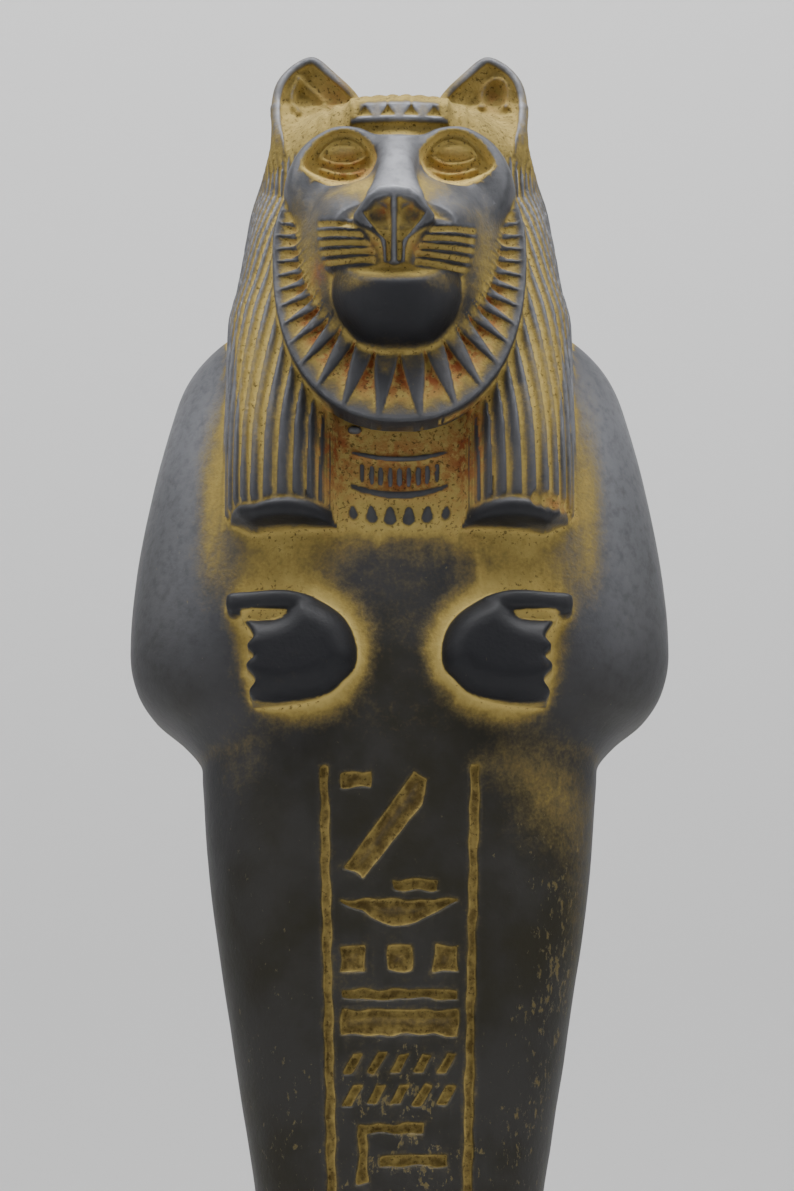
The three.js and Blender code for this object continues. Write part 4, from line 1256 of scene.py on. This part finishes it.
def dust_depth(n, cloud, grain, speck):
    dust = n.plus(n.mask("dust"), n.times(halo(n), n.minus(1.0, n.mask("bare"))))
    for noise, strength in ((grain, 0.5), (speck, 0.4), (cloud, 0.4)):
        dust = n.plus(dust, n.times(n.minus(noise, 0.5), strength))
    return dust


def powder_colour(n, dust, grain, pitted):
    """Ochre that pales where it lies thick, and in the eyes' hollows as painted light, reddened in places,
    pitted, and darkened to umber as painted shade in the strokes, the ears' hollows and the crown.
    """
    powder = n.blend(n.spread(dust, 0.4, 1.65), OCHRE, PALE_OCHRE)
    powder = n.blend(n.times(n.mask("red"), n.spread(grain, 0.36, 0.6)), powder, RED)
    powder = n.blend(pitted, powder, PIT)
    return n.blend(n.times(n.mask("sunk"), n.spread(grain, 0.35, 0.65, 0.9, 0.5)), powder, SHADE_UMBER)


def make_finish_and_painted_light():
    """Satin graphite skin over stone, with dust rubbed into the carving, and painted highlights and painted
    shade in its colour.
    """
    n = Nodes("graphite_ochre_and_painted_light")
    cloud = n.noise(55, 5)
    grain = n.noise(520, 5, 0.62)
    speck = n.noise(1700, 3, 0.55)
    pore = n.noise(1500, 3, 0.6)
    # Painted highlight and rubbed shine, broken by the grain; it also makes the skin more metallic.
    rubbed_shine_and_highlight = n.times(n.mask("rubbed_shine_and_highlight"), n.spread(grain, 0.25, 0.6, 0.55, 1.0))
    net = flecks(n, n.times(n.mask("rough"), n.spread(n.noise(130, 3, 0.6), 0.35, 0.6, 0.35, 1.0)))
    dust = dust_depth(n, cloud, grain, speck)
    dusted = n.spread(dust, 0.12, 0.95)
    pitted = n.times(n.spread(pore, 0.44, 0.34), n.spread(n.mask("dust"), 0.75, 1.1, 0.0, 0.7))
    height = n.plus(n.times(grain, 0.45), n.times(speck, n.spread(dusted, 0.0, 1.0, 0.15, 0.8)))
    height = n.minus(n.minus(height, n.times(pitted, 0.9)), n.times(net, 0.7))
    bump = n.node("ShaderNodeBump", {"Strength": 0.45, "Distance": BUMP_DEPTH, "Height": height})
    skin = skin_colour(n, cloud, rubbed_shine_and_highlight, net)
    shiny = n.plus(0.15, n.times(rubbed_shine_and_highlight, 0.45))
    return n.finished({
        "Base Color": n.blend(dusted, skin, powder_colour(n, dust, grain, pitted)),
        "Roughness": n.spread(dusted, 0.0, 1.0, 0.5, 0.92),
        "Metallic": n.times(shiny, n.spread(dusted, 0.0, 0.5, 1.0, 0.0)),
        "Specular IOR Level": 0.24,
        "Normal": bump.outputs["Normal"],
    })


# Stage and lights, in metres.
PAPER = (0.72, 0.72, 0.72, 1)
FLOOR_RADIUS = 1.9
WALL_BEND = 0.5
WALL_HEIGHT = 3
WALL_SIDES = 72
MIDDLE = (0, 0, 0.24)
# Each light's name, place, target, size and power.
LIGHTS = [
    ("overhead", (0, -0.16, 0.78), MIDDLE, (0.7, 0.4), 9.5),
    ("left_strip", (-0.7, -0.3, 0.6), MIDDLE, (0.5, 0.6), 2.2),
    ("right_strip", (0.7, -0.3, 0.6), MIDDLE, (0.5, 0.6), 2.2),
    ("front_fill", (0.1, -1.5, 0.8), MIDDLE, (0.9, 0.9), 1.1),
    ("on_backdrop", (0, 1.1, 1.9), (0, 2.4, 0.7), (1.6, 0.5), 34),
]


def make_stage():
    """A round pale floor that sweeps up into a wall all round, wide enough for a view from any side."""
    profile = [(0.01, 0.0), (1, 0.0), (FLOOR_RADIUS, 0.0)]
    for a in np.linspace(0.1, math.pi / 2, 14):
        profile.append((FLOOR_RADIUS + WALL_BEND * math.sin(a), WALL_BEND * (1 - math.cos(a))))
    profile.append((FLOOR_RADIUS + WALL_BEND, WALL_HEIGHT))
    turns = np.linspace(0, 2 * math.pi, WALL_SIDES, endpoint=False)
    vertices = [(r * math.cos(a), r * math.sin(a), z) for r, z in profile for a in turns]
    rows = [[k * WALL_SIDES + i for i in range(WALL_SIDES + 1)] for k in range(len(profile))]
    for row in rows:
        row[-1] = row[0]
    faces = [tuple(rows[0][-2::-1])]
    for inner, outer in zip(rows, rows[1:]):
        faces += zip(inner, outer, outer[1:], inner[1:])
    mesh = bpy.data.meshes.new("backdrop")
    mesh.from_pydata(vertices, [], faces)
    mesh.shade_smooth()
    backdrop = bpy.data.objects.new("backdrop", mesh)
    bpy.context.scene.collection.objects.link(backdrop)
    mesh.materials.append(Nodes("pale_paper").finished({"Base Color": PAPER, "Roughness": 0.9}))


def add_light(name, place, target, size, power):
    light = bpy.data.lights.new(name, "AREA")
    light.shape = "RECTANGLE"
    light.size, light.size_y = size
    light.energy = power
    made = bpy.data.objects.new(name, light)
    made.location = place
    made.rotation_euler = (Vector(target) - Vector(place)).to_track_quat("-Z", "Y").to_euler()
    bpy.context.scene.collection.objects.link(made)


def light_scene():
    world = bpy.data.worlds.new("studio")
    world.use_nodes = True
    sky = world.node_tree.nodes["Background"].inputs
    sky["Color"].default_value = (0.92, 0.95, 1, 1)
    sky["Strength"].default_value = 0.09
    bpy.context.scene.world = world
    for light in LIGHTS:
        add_light(*light)


# The photograph's view: the camera's distance forward of the figure's axis, its height and its upward pitch.
CAMERA_FORWARD = 727.7
CAMERA_HEIGHT = 15.6
CAMERA_PITCH = 14
LENS = 124.65
PHOTO_WIDTH, PHOTO_HEIGHT = 794, 1191
AXIS_COLUMN = 399.5  # of the figure, in the photograph


def place_camera():
    lens = bpy.data.cameras.new("camera")
    lens.lens = LENS
    lens.sensor_fit = "VERTICAL"
    lens.sensor_height = 36
    lens.clip_start = 0.01
    lens.shift_x = -(AXIS_COLUMN - PHOTO_WIDTH / 2) / PHOTO_HEIGHT
    camera = bpy.data.objects.new("camera", lens)
    camera.location = (0, (AXIS_SET_BACK - CAMERA_FORWARD) / 1000, CAMERA_HEIGHT / 1000)
    camera.rotation_euler = (math.radians(90 + CAMERA_PITCH), 0, 0)
    bpy.context.scene.collection.objects.link(camera)
    bpy.context.scene.camera = camera


place_camera()
statue = make_statue()
statue.data.materials.append(make_finish_and_painted_light())
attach(statue, "root")
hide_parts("statue")
make_stage()
light_scene()
